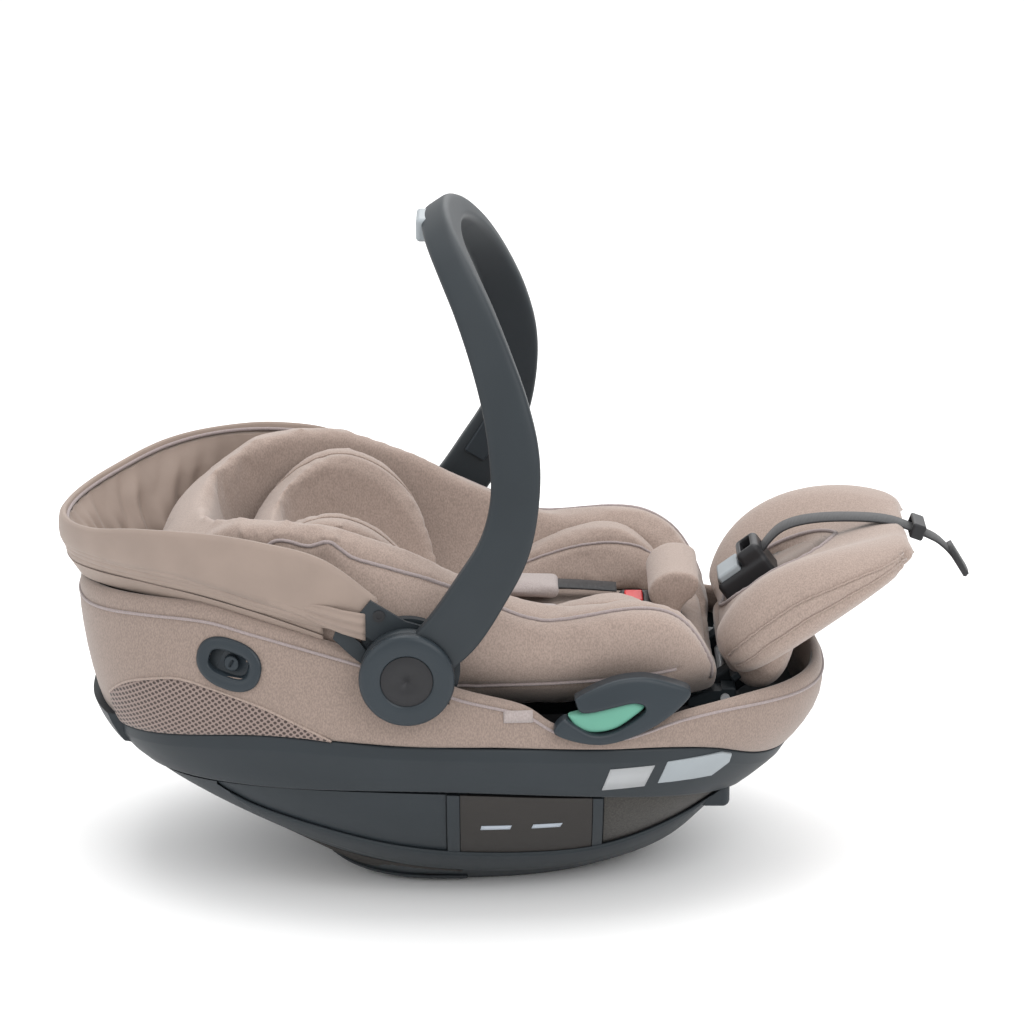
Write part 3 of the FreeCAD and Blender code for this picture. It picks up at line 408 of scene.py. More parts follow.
def on_hull(t, low, high, v, offset, lift=0.0):
    """A point on the hull between two side view lines, at share v of the way up, plus lift in z."""
    z = np.full_like(np.asarray(t, float), 150.0)
    for _ in range(14):
        x, y = hull_point(t, z, offset)
        target = low(x) * (1 - v) + high(x) * v + lift
        z = z + 0.7 * (target - z)
    x, y = hull_point(t, z, offset)
    return np.stack([x, y, z], axis=-1) * MM


def band(name, low, high, profile, material, body, slot=None, t_range=None, count=300, roughen=0.0):
    """A closed strip round the hull (or part of it); profile rows are share of height, offset, lift."""
    closed = t_range is None
    if closed:
        t = np.linspace(0, 2 * math.pi, count, endpoint=False)
    else:
        t = np.linspace(*t_range, count)
    rows = [on_hull(t, low, high, v, offset, lift) for v, offset, lift in profile]
    points = np.stack(rows, axis=1)
    if roughen:
        points = rumple(points, roughen)
    return grid(name, points, material, body, slot, closed_u=closed, closed_v=True, caps=True)


def rumple(points, amount):
    """Slow unevenness of sewn cloth."""
    flat = points.reshape(-1, 3).copy()
    for k, p in enumerate(flat):
        shift = noise.noise_vector(Vector(p * RUMPLE_SCALE))
        flat[k] += np.array(shift) * amount
    return flat.reshape(points.shape)


def angle_for(x, z, side, offset=SKIN):
    """The outline angle of the hull place at (x, z) on the given side (+1 left, -1 right)."""
    head, foot, _ = (np.interp(z, HULL_FINE[:, 0], HULL_FINE[:, k]) for k in (1, 2, 3))
    grow = offset - SKIN
    reach = foot + grow - WIDEST_X if x > WIDEST_X else WIDEST_X - head + grow
    c = np.clip((x - WIDEST_X) / reach, -1, 1)
    t = math.acos(np.sign(c) * abs(c) ** (OUTLINE_POWER / 2))
    return t if side > 0 else 2 * math.pi - t


def tube(name, path, radius, material, body, slot=None, closed=False, sides=8):
    """A round cord or piping along a path of points."""
    p = np.asarray(path, float)
    n = len(p)
    if closed:
        tangent = np.roll(p, -1, axis=0) - np.roll(p, 1, axis=0)
    else:
        tangent = np.gradient(p, axis=0)
    tangent /= np.linalg.norm(tangent, axis=1)[:, None] + 1e-12
    up = np.array([0.0, 0.0, 1.0])
    rings = []
    last = None
    for k in range(n):
        a = np.cross(tangent[k], up) if last is None else last - tangent[k] * np.dot(last, tangent[k])
        if np.linalg.norm(a) < 1e-6:
            a = np.cross(tangent[k], np.array([1.0, 0, 0]))
        a /= np.linalg.norm(a)
        last = a
        b = np.cross(tangent[k], a)
        angles = np.linspace(0, 2 * math.pi, sides, endpoint=False)
        rings.append([p[k] + radius * (math.cos(s) * a + math.sin(s) * b) for s in angles])
    return grid(name, rings, material, body, slot, closed_u=closed, closed_v=True, caps=True)


def lathe_y(name, profile, centre, side, material, body, slot=None, count=96):
    """A turned shape about an axis along Y; profile rows are radius and distance from the centre plane."""
    rings = []
    for k in range(count):
        a = 2 * math.pi * k / count
        rings.append([(centre[0] + r * math.cos(a), side * y, centre[2] + r * math.sin(a)) for r,
            y in profile])
    return grid(name, rings, material, body, slot, closed_u=True, closed_v=True)


# ---- CAD based pieces
SIMULATED = []


def read_points(mesh, field="co"):
    values = np.empty(len(mesh.vertices) * 3)
    mesh.vertices.foreach_get(field, values)
    return values.reshape(-1, 3)


def write_points(mesh, points):
    mesh.vertices.foreach_set("co", np.ascontiguousarray(points).reshape(-1))


def evaluated_mesh(obj):
    bpy.context.view_layer.update()
    graph = bpy.context.evaluated_depsgraph_get()
    return bpy.data.meshes.new_from_object(obj.evaluated_get(graph))


def baked(obj):
    """The object's evaluated mesh; the object itself goes."""
    mesh = evaluated_mesh(obj)
    bpy.data.objects.remove(obj)
    return mesh


def evened_mesh(name, mesh, voxel, smoothing):
    """A mesh with even faces and softened edges."""
    obj = linked(name, mesh)
    weld = obj.modifiers.new("weld", "WELD")
    weld.merge_threshold = WELD
    even = obj.modifiers.new("even", "REMESH")
    even.mode, even.voxel_size = "VOXEL", voxel
    soften = obj.modifiers.new("soften", "SMOOTH")
    soften.iterations, soften.factor = smoothing, 0.5
    return baked(obj)


def remeshed(node, name, material, body, slot, voxel, smoothing):
    """A copy of a CAD node's mesh, remeshed evenly and smoothed, that stands for the node."""
    result = evened_mesh(name, frame["nodes"][node].data.copy(), voxel, smoothing)
    out = dress(name, result, material, body, slot)
    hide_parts(node)
    return out


def plump(obj, pressure, cap):
    """Queues a piece for the shared cloth simulation that swells its sides."""
    SIMULATED.append((obj, pressure, cap))


def simulate():
    """One run of Blender's cloth over all queued pads; each point moves at most its cap."""
    if not SIMULATED:
        return
    scene = bpy.context.scene
    for obj, pressure, _ in SIMULATED:
        cloth = obj.modifiers.new("cloth", "CLOTH")
        settings = cloth.settings
        settings.use_pressure, settings.uniform_pressure_force = True, pressure
        settings.effector_weights.gravity = 0.0
        settings.quality = 4
        settings.tension_stiffness = settings.compression_stiffness = 12.0
        cloth.point_cache.frame_start, cloth.point_cache.frame_end = 1, 16
    for f in range(1, 15):
        scene.frame_set(f)
    for obj, _, cap in SIMULATED:
        swollen = evaluated_mesh(obj)
        rest = read_points(obj.data)
        shift = read_points(swollen) - rest
        length = np.linalg.norm(shift, axis=1)[:, None] + 1e-12
        shift *= np.minimum(1.0, cap / length)
        obj.modifiers.remove(obj.modifiers["cloth"])
        write_points(obj.data, rest + shift)
        bpy.data.meshes.remove(swollen)
    scene.frame_set(1)


FINISHES = {"instruction_panels": "slate_plastic", "strap_keeper": "black_plastic",
    "handle_lock_button_left": "slate_satin", "handle_lock_button_right": "slate_satin"}


def paint_cad():
    """Gives every CAD node that stays in view its procedural material."""
    slot_of = {row["node"]: row["material_slot"] for row in frame["record"]["subparts"]}
    for node, obj in frame["nodes"].items():
        material = MATERIALS[FINISHES.get(node, slot_of[node])]
        for k in range(len(obj.material_slots)):
            obj.material_slots[k].material = material
        if not obj.material_slots:
            obj.data.materials.append(material)


# ---- adjuster strap (the one free cord)
def spline_points(name, route):
    """Points along the smooth NURBS line through a route's control points."""
    curve = bpy.data.curves.new(name, "CURVE")
    curve.dimensions = "3D"
    spline = curve.splines.new("NURBS")
    spline.points.add(len(route) - 1)
    for point, place in zip(spline.points, route):
        point.co = (*place, 1.0)
    spline.order_u = 3
    spline.use_endpoint_u = True
    spline.resolution_u = 16
    return [tuple(v.co) for v in baked(linked(name, curve)).vertices]


def ribbon(name, points, width, thick, material, body, slot=None):
    """A flat strap along points with softly rounded edges."""
    p = np.asarray(points, float)
    tangent = np.gradient(p, axis=0)
    tangent /= np.linalg.norm(tangent, axis=1)[:, None]
    side = np.array([0.0, 1.0, 0.0])
    outline = [(-1, -0.5), (-0.94, -1), (0, -1.15), (0.94, -1), (1, -0.5), (1, 0.5), (0.94, 1), (0, 1.15),
        (-0.94, 1), (-1, 0.5)]
    rings = []
    for k in range(len(p)):
        w = side - tangent[k] * np.dot(side, tangent[k])
        w /= np.linalg.norm(w)
        n = np.cross(tangent[k], w)
        rings.append([p[k] + w * (a * width / 2) + n * (b * thick / 2) for a, b in outline])
    return grid(name, rings, material, body, slot, closed_v=True, caps=True)


def build_strap():
    route = [(x, 0.0, z) for x, z in STRAP_ROUTE]
    points = spline_points("strap_line", route)
    strap = ribbon("adjuster_strap_webbing", points, 0.025, 0.0018, "black_webbing", "leg_rest")
    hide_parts("adjuster_strap")
    end = np.array(points[-1])
    stitched = ribbon("strap_end_loop", [end + np.array(d) for d in ((-0.014, 0, 0.0235), (-0.007, 0, 0.0125),
        (0.0, 0, 0.001))], 0.0262, 0.0052, "black_webbing", "leg_rest")
    length = float(sum(np.linalg.norm(np.subtract(b, a)) for a, b in zip(points, points[1:])))
    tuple(points[0])


# ---- shell, rim and skid
MESH_TOP = [(-330, 152), (-308, 184), (-278, 199), (-247, 203), (-190, 190), (-150, 174), (-126, 163)]
WINDOW_BOTTOM = [(-226, 109), (-197, 92), (-140, 73), (-73, 52), (-14, 41), (61, 38), (112, 45), (168, 66),
    (196, 86)]
rim_low, rim_top, shell_top = side_line(RIM_BOTTOM), side_line(RIM_TOP), side_line(SHELL_TOP)
mesh_top, window_low = side_line(MESH_TOP), side_line(WINDOW_BOTTOM)


def cut_away(obj, test):
    """Deletes the faces whose centre passes the test, where another piece covers the edge."""
    work = bmesh.new()
    work.from_mesh(obj.data)
    doomed = [f for f in work.faces if test(f.calc_center_median())]
    bmesh.ops.delete(work, geom=doomed, context="FACES")
    work.to_mesh(obj.data)
    work.free()


SOCKET, SOCKET_TILT = (-213.0, 222.0), -14.0


def hull_place(x, z, offset, side):
    """The point of the boat shape seen at side view place (x, z), millimetres in, metres out."""
    head, foot, half = (np.interp(z, HULL_FINE[:, 0], HULL_FINE[:, k]) for k in (1, 2, 3))
    grow = offset - SKIN
    reach = np.where(x > WIDEST_X, foot + grow - WIDEST_X, WIDEST_X - head + grow)
    share = np.minimum(1.0, np.abs(x - WIDEST_X) / reach)
    return (x * MM, side * (half + grow) * (1 - share ** OUTLINE_POWER) ** (1 / OUTLINE_POWER) * MM, z * MM)


def dish(name, centre, tilt, rings, side, material, body, slot=None, count=72):
    """A plate or dish laid on the hull; rings are half width, half height, corner power and offset in mm."""
    a = math.radians(tilt)
    rows = []
    for w, h, power, offset in rings:
        row = []
        for k in range(count):
            c, q = math.cos(2 * math.pi * k / count), math.sin(2 * math.pi * k / count)
            u = w * math.copysign(abs(c) ** (2 / power), c)
            v = h * math.copysign(abs(q) ** (2 / power), q)
            row.append(hull_place(centre[0] + u * math.cos(a) - v * math.sin(a),
                centre[1] + u * math.sin(a) + v * math.cos(a), offset, side))
        rows.append(row)
    return grid(name, rows, material, body, slot, closed_v=True, caps=True)


def build_sockets():
    rings = [(24, 18, 2.3, 0.0), (27.2, 20.6, 2.3, 3.0), (27.6, 21.0, 2.3, 7.2), (26.6, 20.2, 2.3, 8.9),
        (24.6, 18.4, 2.3, 9.5),
        (20.5, 14.0, 2.5, 9.6), (18.0, 11.2, 2.8, 9.0), (17.0, 10.2, 3.0, 7.6), (16.2, 9.5, 3.2, 1.0),
        (15.8, 9.2, 3.2, -6.0), (8, 5, 2.5, -6.4), (0.3, 0.3, 2.0, -6.4)]
    for side, word in SIDES:
        plate = dish("socket_plate_" + word, SOCKET, SOCKET_TILT, rings, side, "slate_satin", "carrier",
            "slate_plastic")
        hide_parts("impact_socket_" + word)
        stud = [(5.4, 5.4, 2, -6.2), (6.2, 6.2, 2, -5.6), (6.2, 6.2, 2, 4.6), (5.6, 5.6, 2, 5.6),
            (1.2, 3.6, 5, 5.7), (0.9, 3.3, 5, 3.6), (0.2, 0.4, 2, 3.6)]
        stud = dish("socket_stud_" + word, (SOCKET[0] + 2, SOCKET[1]), -30, stud, side, "slate_satin",
            "carrier", "black_plastic", 40)
        if side > 0:
            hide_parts("socket_studs")


def build_rim():
    profile = [(0.0, 0.4, 0), (0.0, 5.4, 0), (0.02, 7.0, 0), (0.06, 8.0, 0), (0.30, 8.8, 0), (0.60, 9.0, 0),
        (0.755, 8.9, 0), (0.77, 8.8, 0), (0.79, 8.5, 0), (0.955, 6.4, 0), (0.985, 5.8, 0),
        (1.0, 4.6, 0), (1.0, 0.4, 0)]
    rim = band("rim_band_skin", rim_low, rim_top, profile, "slate_plastic", "carrier", count=420)
    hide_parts("rim_band")


HUB_HOLE = (-65, 223, 38)          # x, z and radius in mm
GUIDE_HOLE = (98, 184, 36, 14)     # x, z and both half widths
SOCKET_HOLE = (21, 15)


def build_cover():
    profile = [(0.0, 2.0, 0.8), (0.0, 4.0, 0.8), (0.03, 5.0, 0.6), (0.09, 5.7, 0), (0.2, 6.0, 0),
        (0.35, 6.1, 0), (0.5, 6.1, 0),
        (0.65, 6.0, 0), (0.78, 5.9, 0), (0.86, 5.6, 0), (0.90, 4.6, 0), (0.94, 5.0, 0), (0.98, 4.2, 0),
        (1.0, 2.2, 2.2), (1.0, -0.5, 3.4), (1.0, -3.4, 2.2), (0.98, -4.8, 0), (0.9, -5.4, 0), (0.7, -5.4, 0),
        (0.5, -5.2, 0), (0.5, -4.3, 0)]
    # The cover takes the darker copy of the pad cloth: painted shade.
    cover = band("shell_cover_cloth", rim_top, shell_top, profile, "cover_cloth", "carrier", "shell_cloth",
        count=420, roughen=0.0006)

    def hidden(c):
        x, y, z = c[0] / MM, abs(c[1]) / MM, c[2] / MM
        hub = math.hypot(x - HUB_HOLE[0], z - HUB_HOLE[1]) < HUB_HOLE[2] and y > 180
        tilt = math.radians(SOCKET_TILT)
        u = (x - SOCKET[0]) * math.cos(tilt) + (z - SOCKET[1]) * math.sin(tilt)
        w = (z - SOCKET[1]) * math.cos(tilt) - (x - SOCKET[0]) * math.sin(tilt)
        socket = (u / SOCKET_HOLE[0]) ** 2 + (w / SOCKET_HOLE[1]) ** 2 < 1 and y > 130
        guide_x, guide_z, half_x, half_z = GUIDE_HOLE
        guide = ((x - guide_x) / half_x) ** 2 + ((z - guide_z) / half_z) ** 2 < 1 and y > 150
        return hub or socket or guide
    cut_away(cover, hidden)
    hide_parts("shell_cover")

    t = np.linspace(0, 2 * math.pi, 500, endpoint=False)
    edge = on_hull(t, rim_top, shell_top, 0.90, 5.4)
    tube("shell_cover_piping", edge, 0.0013, "piping", "carrier", "shell_cloth", closed=True)

    for side, word in SIDES:
        ts = [angle_for(x, 165, side) for x in (-318, -128)]
        profile = [(0.0, 4.0, 0.5), (0.0, 6.2, 0.5), (0.1, 6.9, 0), (0.3, 7.3, 0), (0.55, 7.4, 0),
            (0.8, 7.1, 0), (0.95, 6.5, 0), (1.0, 5.6, 0), (1.0, 4.0, 0)]
        panel = band("mesh_panel_" + word, rim_top, mesh_top, profile, "mesh_cloth", "carrier",
            t_range=ts, count=90)
        if side > 0:
            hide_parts("mesh_panels")
        seam_t = np.linspace(ts[0], ts[1], 70)
        tube("mesh_seam_" + word, on_hull(seam_t, rim_top, mesh_top, 1.0, 6.1), 0.0011, "shell_cloth",
            "carrier")
        tag_t = np.linspace(angle_for(14, 188, side), angle_for(38, 188, side), 10)
        low, high = side_line([(-400, 181), (400, 181)]), side_line([(-400, 191), (400, 191)])
        band("cloth_tag_" + word, low, high, [(0, 5.8, 0), (0, 6.8, 0), (0.5, 7.2, 0), (1, 6.8, 0),
            (1, 5.8, 0)], "grey_cloth", "carrier", t_range=(tag_t[0], tag_t[-1]), count=10)


FLAT = ((-400, 0), (400, 0))


def plate(name, z0, z1, x0, x1, middle, side, offsets, material, slot, count, at=SKIN):
    """A thin plate on the hull between two heights and two lengthwise places."""
    low, high = (side_line([(x, z) for x, _ in FLAT]) for z in (z0, z1))
    inner, outer = offsets
    ts = (angle_for(x0, middle, side, at), angle_for(x1, middle, side, at))
    band(name, low, high, [(0, inner, 0), (0, outer, 0), (1, outer, 0), (1, inner, 0)], material, "carrier",
        slot, t_range=ts, count=count)


def build_skid():
    """Rail under the side windows, foot plates, and the prints on the panels."""
    for side, word in SIDES:
        ts = (angle_for(-218, 105, side), angle_for(192, 84, side))
        bead = [(0.0, 4.0, 0), (0.0, 6.0, 0), (0.2, 7.6, 0), (0.6, 8.6, 0), (0.85, 8.2, 0), (0.97, 6.9, 0),
            (1.0, 5.6, 0), (1.0, 3.0, 0)]
        rail_low = lambda x: window_low(x) - 24
        rail_high = lambda x: window_low(x) + 7 * np.exp(-((x - 20) / 130.0) ** 2)
        band("window_rail_" + word, rail_low, rail_high, bead, "slate_plastic", "carrier",
            t_range=ts, count=150)

        low = side_line([(-190, 22), (-143, 15), (-75, 9), (0, 7)])
        high = side_line([(-190, 56), (-130, 40), (-75, 29), (0, 14)])
        ts = (angle_for(-164, 36, side), angle_for(-22, 12, side))
        band("foot_side_" + word, low, high, [(0, 4, 0), (0, 6.5, 0), (1, 6.5, 0), (1, 4, 0)],
            "brown_plastic", "carrier", t_range=ts, count=60)
        plate_low, plate_high = side_line([(-190, 14), (-143, 8), (-75, 2.5), (0, 1.5)]), low
        ts = (angle_for(-150, 14, side), angle_for(-18, 5, side))
        band("foot_plate_" + word, plate_low, plate_high,
            [(0, 3, 0), (0, 9.6, 0), (0.5, 11.5, 0), (1, 10.4, 0), (1, 3, 0)],
            "slate_plastic", "carrier", t_range=ts, count=60)

        for x0, x1 in ((-5, 20), (38, 62)):
            plate("reflector_%s_%d" % (word, x0), 77, 81.5, x0, x1, 79, side, (4.6, 5.5), "silver_print",
                "brown_plastic", 8, at=5)
        plate("blank_label_" + word, 117, 137, 98, 134, 127, side, (8.6, 9.5), "white_print", "slate_plastic",
            14)


# ---- handle and hubs
def build_handle():
    left = [list(row) for row in HANDLE_LINE]
    right = [[x, -y, z, w, t, a] for x, y, z, w, t, a in reversed(HANDLE_LINE)]
    stations = smooth_line(left + right, 190)
    tangents = np.gradient(stations[:, :3], axis=0)
    rings = []
    for (x, y, z, width, thick, lean), tangent in zip(stations, tangents):
        tangent = tangent / np.linalg.norm(tangent)
        a = math.radians(lean)
        w = np.array([math.cos(a), 0, math.sin(a)])
        w -= tangent * np.dot(w, tangent)
        w /= np.linalg.norm(w)
        n = np.cross(tangent, w)
        ring = []
        for k in range(40):
            s = 2 * math.pi * k / 40
            c, q = math.cos(s), math.sin(s)
            ring.append((np.array([x, y, z]) + w * (width / 2) * math.copysign(abs(c) ** 0.42, c)
                + n * (thick / 2) * math.copysign(abs(q) ** 0.42, q)) * MM)
        rings.append(ring)
    arch = grid("handle_arch_skin", rings, "slate_plastic", "handle", closed_v=True, caps=True)
    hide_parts("handle_arch")
    for side, word in SIDES:
        rim = [(0.1, 195.7), (34, 195.7), (37.6, 196.6), (38.8, 199), (38.8, 208.6), (38.1, 209.2),
            (38.1, 210.4), (38.9, 211), (38.9, 215.8), (0.1, 215.8)]
        lathe_y("handle_boss_" + word, [(r * MM, y * MM) for r, y in rim], PIVOT, side, "slate_plastic",
            "handle")
        cap = [(0.1, 215.9), (0.1, 220.2), (21.8, 220.2), (22.3, 221.4), (23.6, 221.9), (34.6, 221.9),
            (37.4, 220.8), (39.0, 218.8), (39.5, 216.6), (39.2, 215.9)]
        cap = lathe_y("hub_cap_" + word, [(r * MM, y * MM) for r, y in cap], PIVOT, side, "slate_satin",
            "handle", "slate_plastic")
        badge = lathe_y("hub_badge_" + word, [(0.0001, 0.2203), (0.0213, 0.2203), (0.0215, 0.2206),
            (0.0212, 0.2209), (0.0001, 0.2209)], PIVOT, side, "black_plastic", "handle")
        if side > 0:
            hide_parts("hub_caps")
            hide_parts("hub_badges")


# ---- canopy
CANOPY_PLAN = [(-90.0, 187.0), (-135.0, 184.0), (-185.0, 175.0), (-237.0, 157.0), (-285.0, 130.0),
    (-328.0, 90.0), (-354.0, 46.0), (-362.0, 0.0)]
BAND_Z = [(251, 284), (262, 316), (277, 327), (287, 330), (290, 325), (287, 313), (283, 306), (282, 304)]


def hoop(first=0):
    """Stations round the head end: plan place, outward normal, and the shares of both ends."""
    rows = [(x, y) for x, y in CANOPY_PLAN[first:]]
    rows += [(x, -y) for x, y in reversed(rows[:-1])]
    heights = BAND_Z[first:] + BAND_Z[first:][::-1][1:]
    table = smooth_line([(x, y, *b) for (x, y), b in zip(rows, heights)], 170)
    tangent = np.gradient(table[:, :2], axis=0)
    normal = np.stack([-tangent[:, 1], tangent[:, 0]], axis=1)
    normal /= np.linalg.norm(normal, axis=1)[:, None]
    flip = np.sign(np.sum(normal * (table[:, :2] - np.array([-100, 0])), axis=1))
    return table, normal * flip[:, None]


def strip(name, table, normal, low, high, outline, material, body, wave=0.0, seed=0.0):
    """A cloth strip round the hoop. outline rows are share of height and outward distance in mm."""
    rings = []
    for k, (row, n) in enumerate(zip(table, normal)):
        z0, z1 = row[low[0]] + low[1], row[high[0]] + high[1]
        ring = []
        for v, d in outline:
            z = z0 + (z1 - z0) * v
            shake = noise.noise_vector(Vector((row[0] * 0.011 + seed, row[1] * 0.011, v * 0.8 + seed))) * wave
            ring.append(((row[0] + n[0] * (d + shake.x)) * MM, (row[1] + n[1] * (d + shake.x)) * MM,
                (z + shake.z) * MM))
        rings.append(ring)
    return grid(name, rings, material, body, "canopy_cloth", closed_v=True, caps=True)


def build_canopy():
    table, normal = hoop()
    outline = [(0.0, 0.4), (0.0, 2.6), (0.15, 4.0), (0.4, 4.9), (0.7, 4.9), (0.9, 4.0), (1.0, 2.2),
        (1.01, 0.0), (0.97, -1.6), (0.8, -1.8), (0.5, -1.4), (0.15, -0.6)]
    front = strip("canopy_front_band", table, normal, (2, 0), (3, 0), outline, "canopy_cloth", "canopy_front",
        2.2)
    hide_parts("canopy_front_fabric")
    top = [((r[0] - n[0] * 2.4) * MM, (r[1] - n[1] * 2.4) * MM, (r[3] - 5.0) * MM) for r,
        n in zip(table, normal)]
    tube("canopy_inner_piping", top, 0.0016, "piping", "canopy_front", "canopy_cloth")
    thin = [(0.0, 0.0), (0.1, 2.4), (0.35, 3.8), (0.65, 3.8), (0.9, 2.4), (1.0, 0.0), (0.8, -1.2),
        (0.2, -1.2)]
    plies = (("canopy_front", -6, 5, -0.8), ("canopy_middle", -11, 0, -2.6), ("canopy_middle", -16, -5, -4.4))
    ends = np.minimum(1.0, np.minimum(np.arange(len(table)), np.arange(len(table))[::-1]) / 26.0) ** 0.7
    for k, (body, a, b, out) in enumerate(plies):
        fan = table.copy()
        fan[:, 2] += a * ends + 3
        fan[:, 3] = table[:, 2] + b * ends + 5
        fan[:, :2] += normal * (out + 4.0 * (1 - ends))[:, None]
        ply = strip("canopy_ply_%d" % k, fan, normal, (2, 0), (3, 0), thin, "canopy_cloth", body, 1.6,
            3.0 + k)
        if k == 1:
            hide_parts("canopy_fold_fabric")
    build_canopy_cloth(*hoop(1))
    build_canopy_corners()
    build_lining()


def build_canopy_cloth(table, normal):
    """Two thin panels folded behind the plies."""
    rows = 22
    for name, pair, low, high, tuck, start, end in (
            ("canopy_rear_panel", ("carrier", "canopy_middle"), -26, -12, 9.0, 0.244, 0.262),
            ("canopy_front_panel", ("canopy_middle", "canopy_front"), -12, 6, 2.0, 0.264, 0.282)):
        rings = []
        for r, n in zip(table, normal):
            ring = []
            for thick, order in ((0.0, range(rows)), (1.2, reversed(range(rows)))):
                for k in order:
                    v = k / (rows - 1)
                    inward = 0.9 + thick + tuck * (1 - v)
                    z = r[2] + low + (high - low) * v
                    ring.append(((r[0] - n[0] * inward) * MM, (r[1] - n[1] * inward) * MM, z * MM))
            rings.append(ring)
        panel = grid(name, rings, "canopy_cloth", None, "canopy_cloth", closed_v=True, caps=True)
        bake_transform(panel)


def build_canopy_corners():
    """The lower cloth layers, gathered towards each bracket."""
    stations = (-160.0, -128.0, -99.0)
    for side, word in SIDES:
        rings = []
        for x in np.linspace(stations[0], stations[2], 36):
            low, high = np.interp(x, stations, (270.0, 258.5, 249.5)), np.interp(x, stations,
                (281.0, 278.0, 273.0))
            plan_y = np.interp(x, (-160.0, -140.0, -118.0, -90.0), (179.0, 184.5, 191.5, 192.5))
            fade = min(1.0, (x - stations[0]) / 20.0 + 0.05) * min(1.0, (stations[2] - x) / 3.0 + 0.3)
            ring = []
            for a in np.linspace(0, 2 * math.pi, 48, endpoint=False):
                v = 0.5 + 0.5 * math.cos(a)
                out = 1.2 + (2.4 + 0.9 * math.cos(6 * math.pi * v)) * max(0.0, math.sin(a)) - 1.0 * max(0.0,
                    -math.sin(a))
                ring.append((x * MM, side * (plan_y + 2.0 + out * fade) * MM, (low + (high - low) * v) * MM))
            rings.append(ring)
        corner = grid("canopy_corner_" + word, rings, "canopy_cloth", "canopy_middle", closed_v=True,
            caps=True)
        outward(corner)


def build_lining():
    """Gathered cloth inside the folded canopy, from the bow's top edge down to the head pad."""
    table, normal = hoop(2)
    fine = np.linspace(0, len(table) - 1, 420)
    columns = [np.interp(fine, np.arange(len(table)), table[:, c]) for c in range(4)]
    across = [np.interp(fine, np.arange(len(table)), normal[:, c]) for c in range(2)]
    rings, n_rows = [], 30
    for k in range(len(fine)):
        x, y, _, high = (c[k] for c in columns)
        nx, ny = across[0][k], across[1][k]
        fade = math.sin(math.pi * k / (len(fine) - 1)) ** 0.5
        ring = []
        for j in range(n_rows):
            v = j / (n_rows - 1)
            gather = math.sin(k * 0.42 + 2.6 * math.sin(v * 3.4 + k * 0.021)) * (0.6 + 2.6 * v) * fade
            crease = math.sin(k * 0.17 - v * 5.5 + 2.0 * math.sin(k * 0.05)) * 3.0 * v * fade
            wob = noise.noise(Vector((x * 0.03, y * 0.03, v * 3))) * 6.0 * v
            d = -3.0 - 38.0 * v * fade + gather + crease + wob
            z = high - 7.0 - 64.0 * v ** 0.9 + 8.0 * math.sin(math.pi * v) * fade + 0.7 * gather - 0.6 * crease
            ring.append(((x + nx * d) * MM, (y + ny * d) * MM, z * MM))
        rings.append(ring)
    under = [[(p[0], p[1], p[2] - 0.0012) for p in reversed(ring)] for ring in rings]
    lining = grid("canopy_lining", [a + b for a, b in zip(rings, under)], "canopy_cloth", "canopy_front",
        closed_v=True, caps=True)


# ---- seat, headrest and harness
def groove(obj, path, radius, depth):
    """Presses a seam line into a padded piece."""
    mesh = obj.data
    places, normals, path = read_points(mesh), read_points(mesh, "normal"), np.asarray(path)
    near = np.full(len(places), 1.0)
    low, high = path.min(axis=0) - 3 * radius, path.max(axis=0) + 3 * radius
    inside = np.flatnonzero(np.all((places > low) & (places < high), axis=1))
    for p in path:
        near[inside] = np.minimum(near[inside], np.linalg.norm(places[inside] - p, axis=1))
    places -= normals * (depth * np.exp(-(near / radius) ** 2))[:, None]
    write_points(mesh, places)
    mesh.update()


def finer(obj):
    """One subdivision, applied, for smooth outlines."""
    smooth = obj.modifiers.new("finer", "SUBSURF")
    smooth.levels = smooth.render_levels = 1
    mesh = evaluated_mesh(obj)
    material = obj.data.materials[0]
    obj.modifiers.remove(smooth)
    obj.data = mesh
    if not mesh.materials:
        mesh.materials.append(material)
    mesh.polygons.foreach_set("use_smooth", [True] * len(mesh.polygons))


def surface_tree(obj):
    mesh = obj.data
    return BVHTree.FromPolygons([v.co.copy() for v in mesh.vertices],
        [tuple(p.vertices) for p in mesh.polygons])


def laid_on(tree, points, lift):
    """Points moved to the nearest place of a surface, then out along its normal."""
    out = []
    for p in points:
        place, normal, _, _ = tree.find_nearest(Vector(p))
        out.append(np.array(place + normal * lift))
    return np.array(out)


def dropped_on(tree, points, lift):
    """Points moved along a ray onto a surface; places that miss it are left out."""
    out = []
    for p in points:
        place, normal, _, _ = tree.ray_cast(Vector(p), Vector((0, 0, -1)))
        if place is not None:
            out.append(np.array(place + normal * lift))
    return np.array(out)


def evened(path, rounds=6):
    """Evens out a path's small jumps."""
    p = np.array(path)
    for _ in range(rounds):
        p[1:-1] = 0.25 * p[:-2] + 0.5 * p[1:-1] + 0.25 * p[2:]
    return p


def seam(obj, name, path, body, slot, radius=0.0012, material="piping", depth=0.0016, closed=False):
    """A sewn seam: a groove pressed into the pad, with a line of piping lying in it."""
    path = evened(path)
    groove(obj, path, 0.0035, depth)
    tube(name, laid_on(surface_tree(obj), path, radius * 0.45), radius, material, body, slot, closed=closed)


LEG_HINGE, LEG_TILT = (202.0, 160.0), math.radians(36.5)
LEG_ROWS = [(24, 100, 10, 48), (60, 126, 9, 66), (105, 131, 9, 68), (150, 126, 8, 52), (182, 106, 5, 32),
    (203, 70, 0, 14)]


def leg_place(s, y, n):
    c, q = math.cos(LEG_TILT), math.sin(LEG_TILT)
    return np.array([(LEG_HINGE[0] + s * c - n * q) * MM, y * MM, (LEG_HINGE[1] + s * q + n * c) * MM])


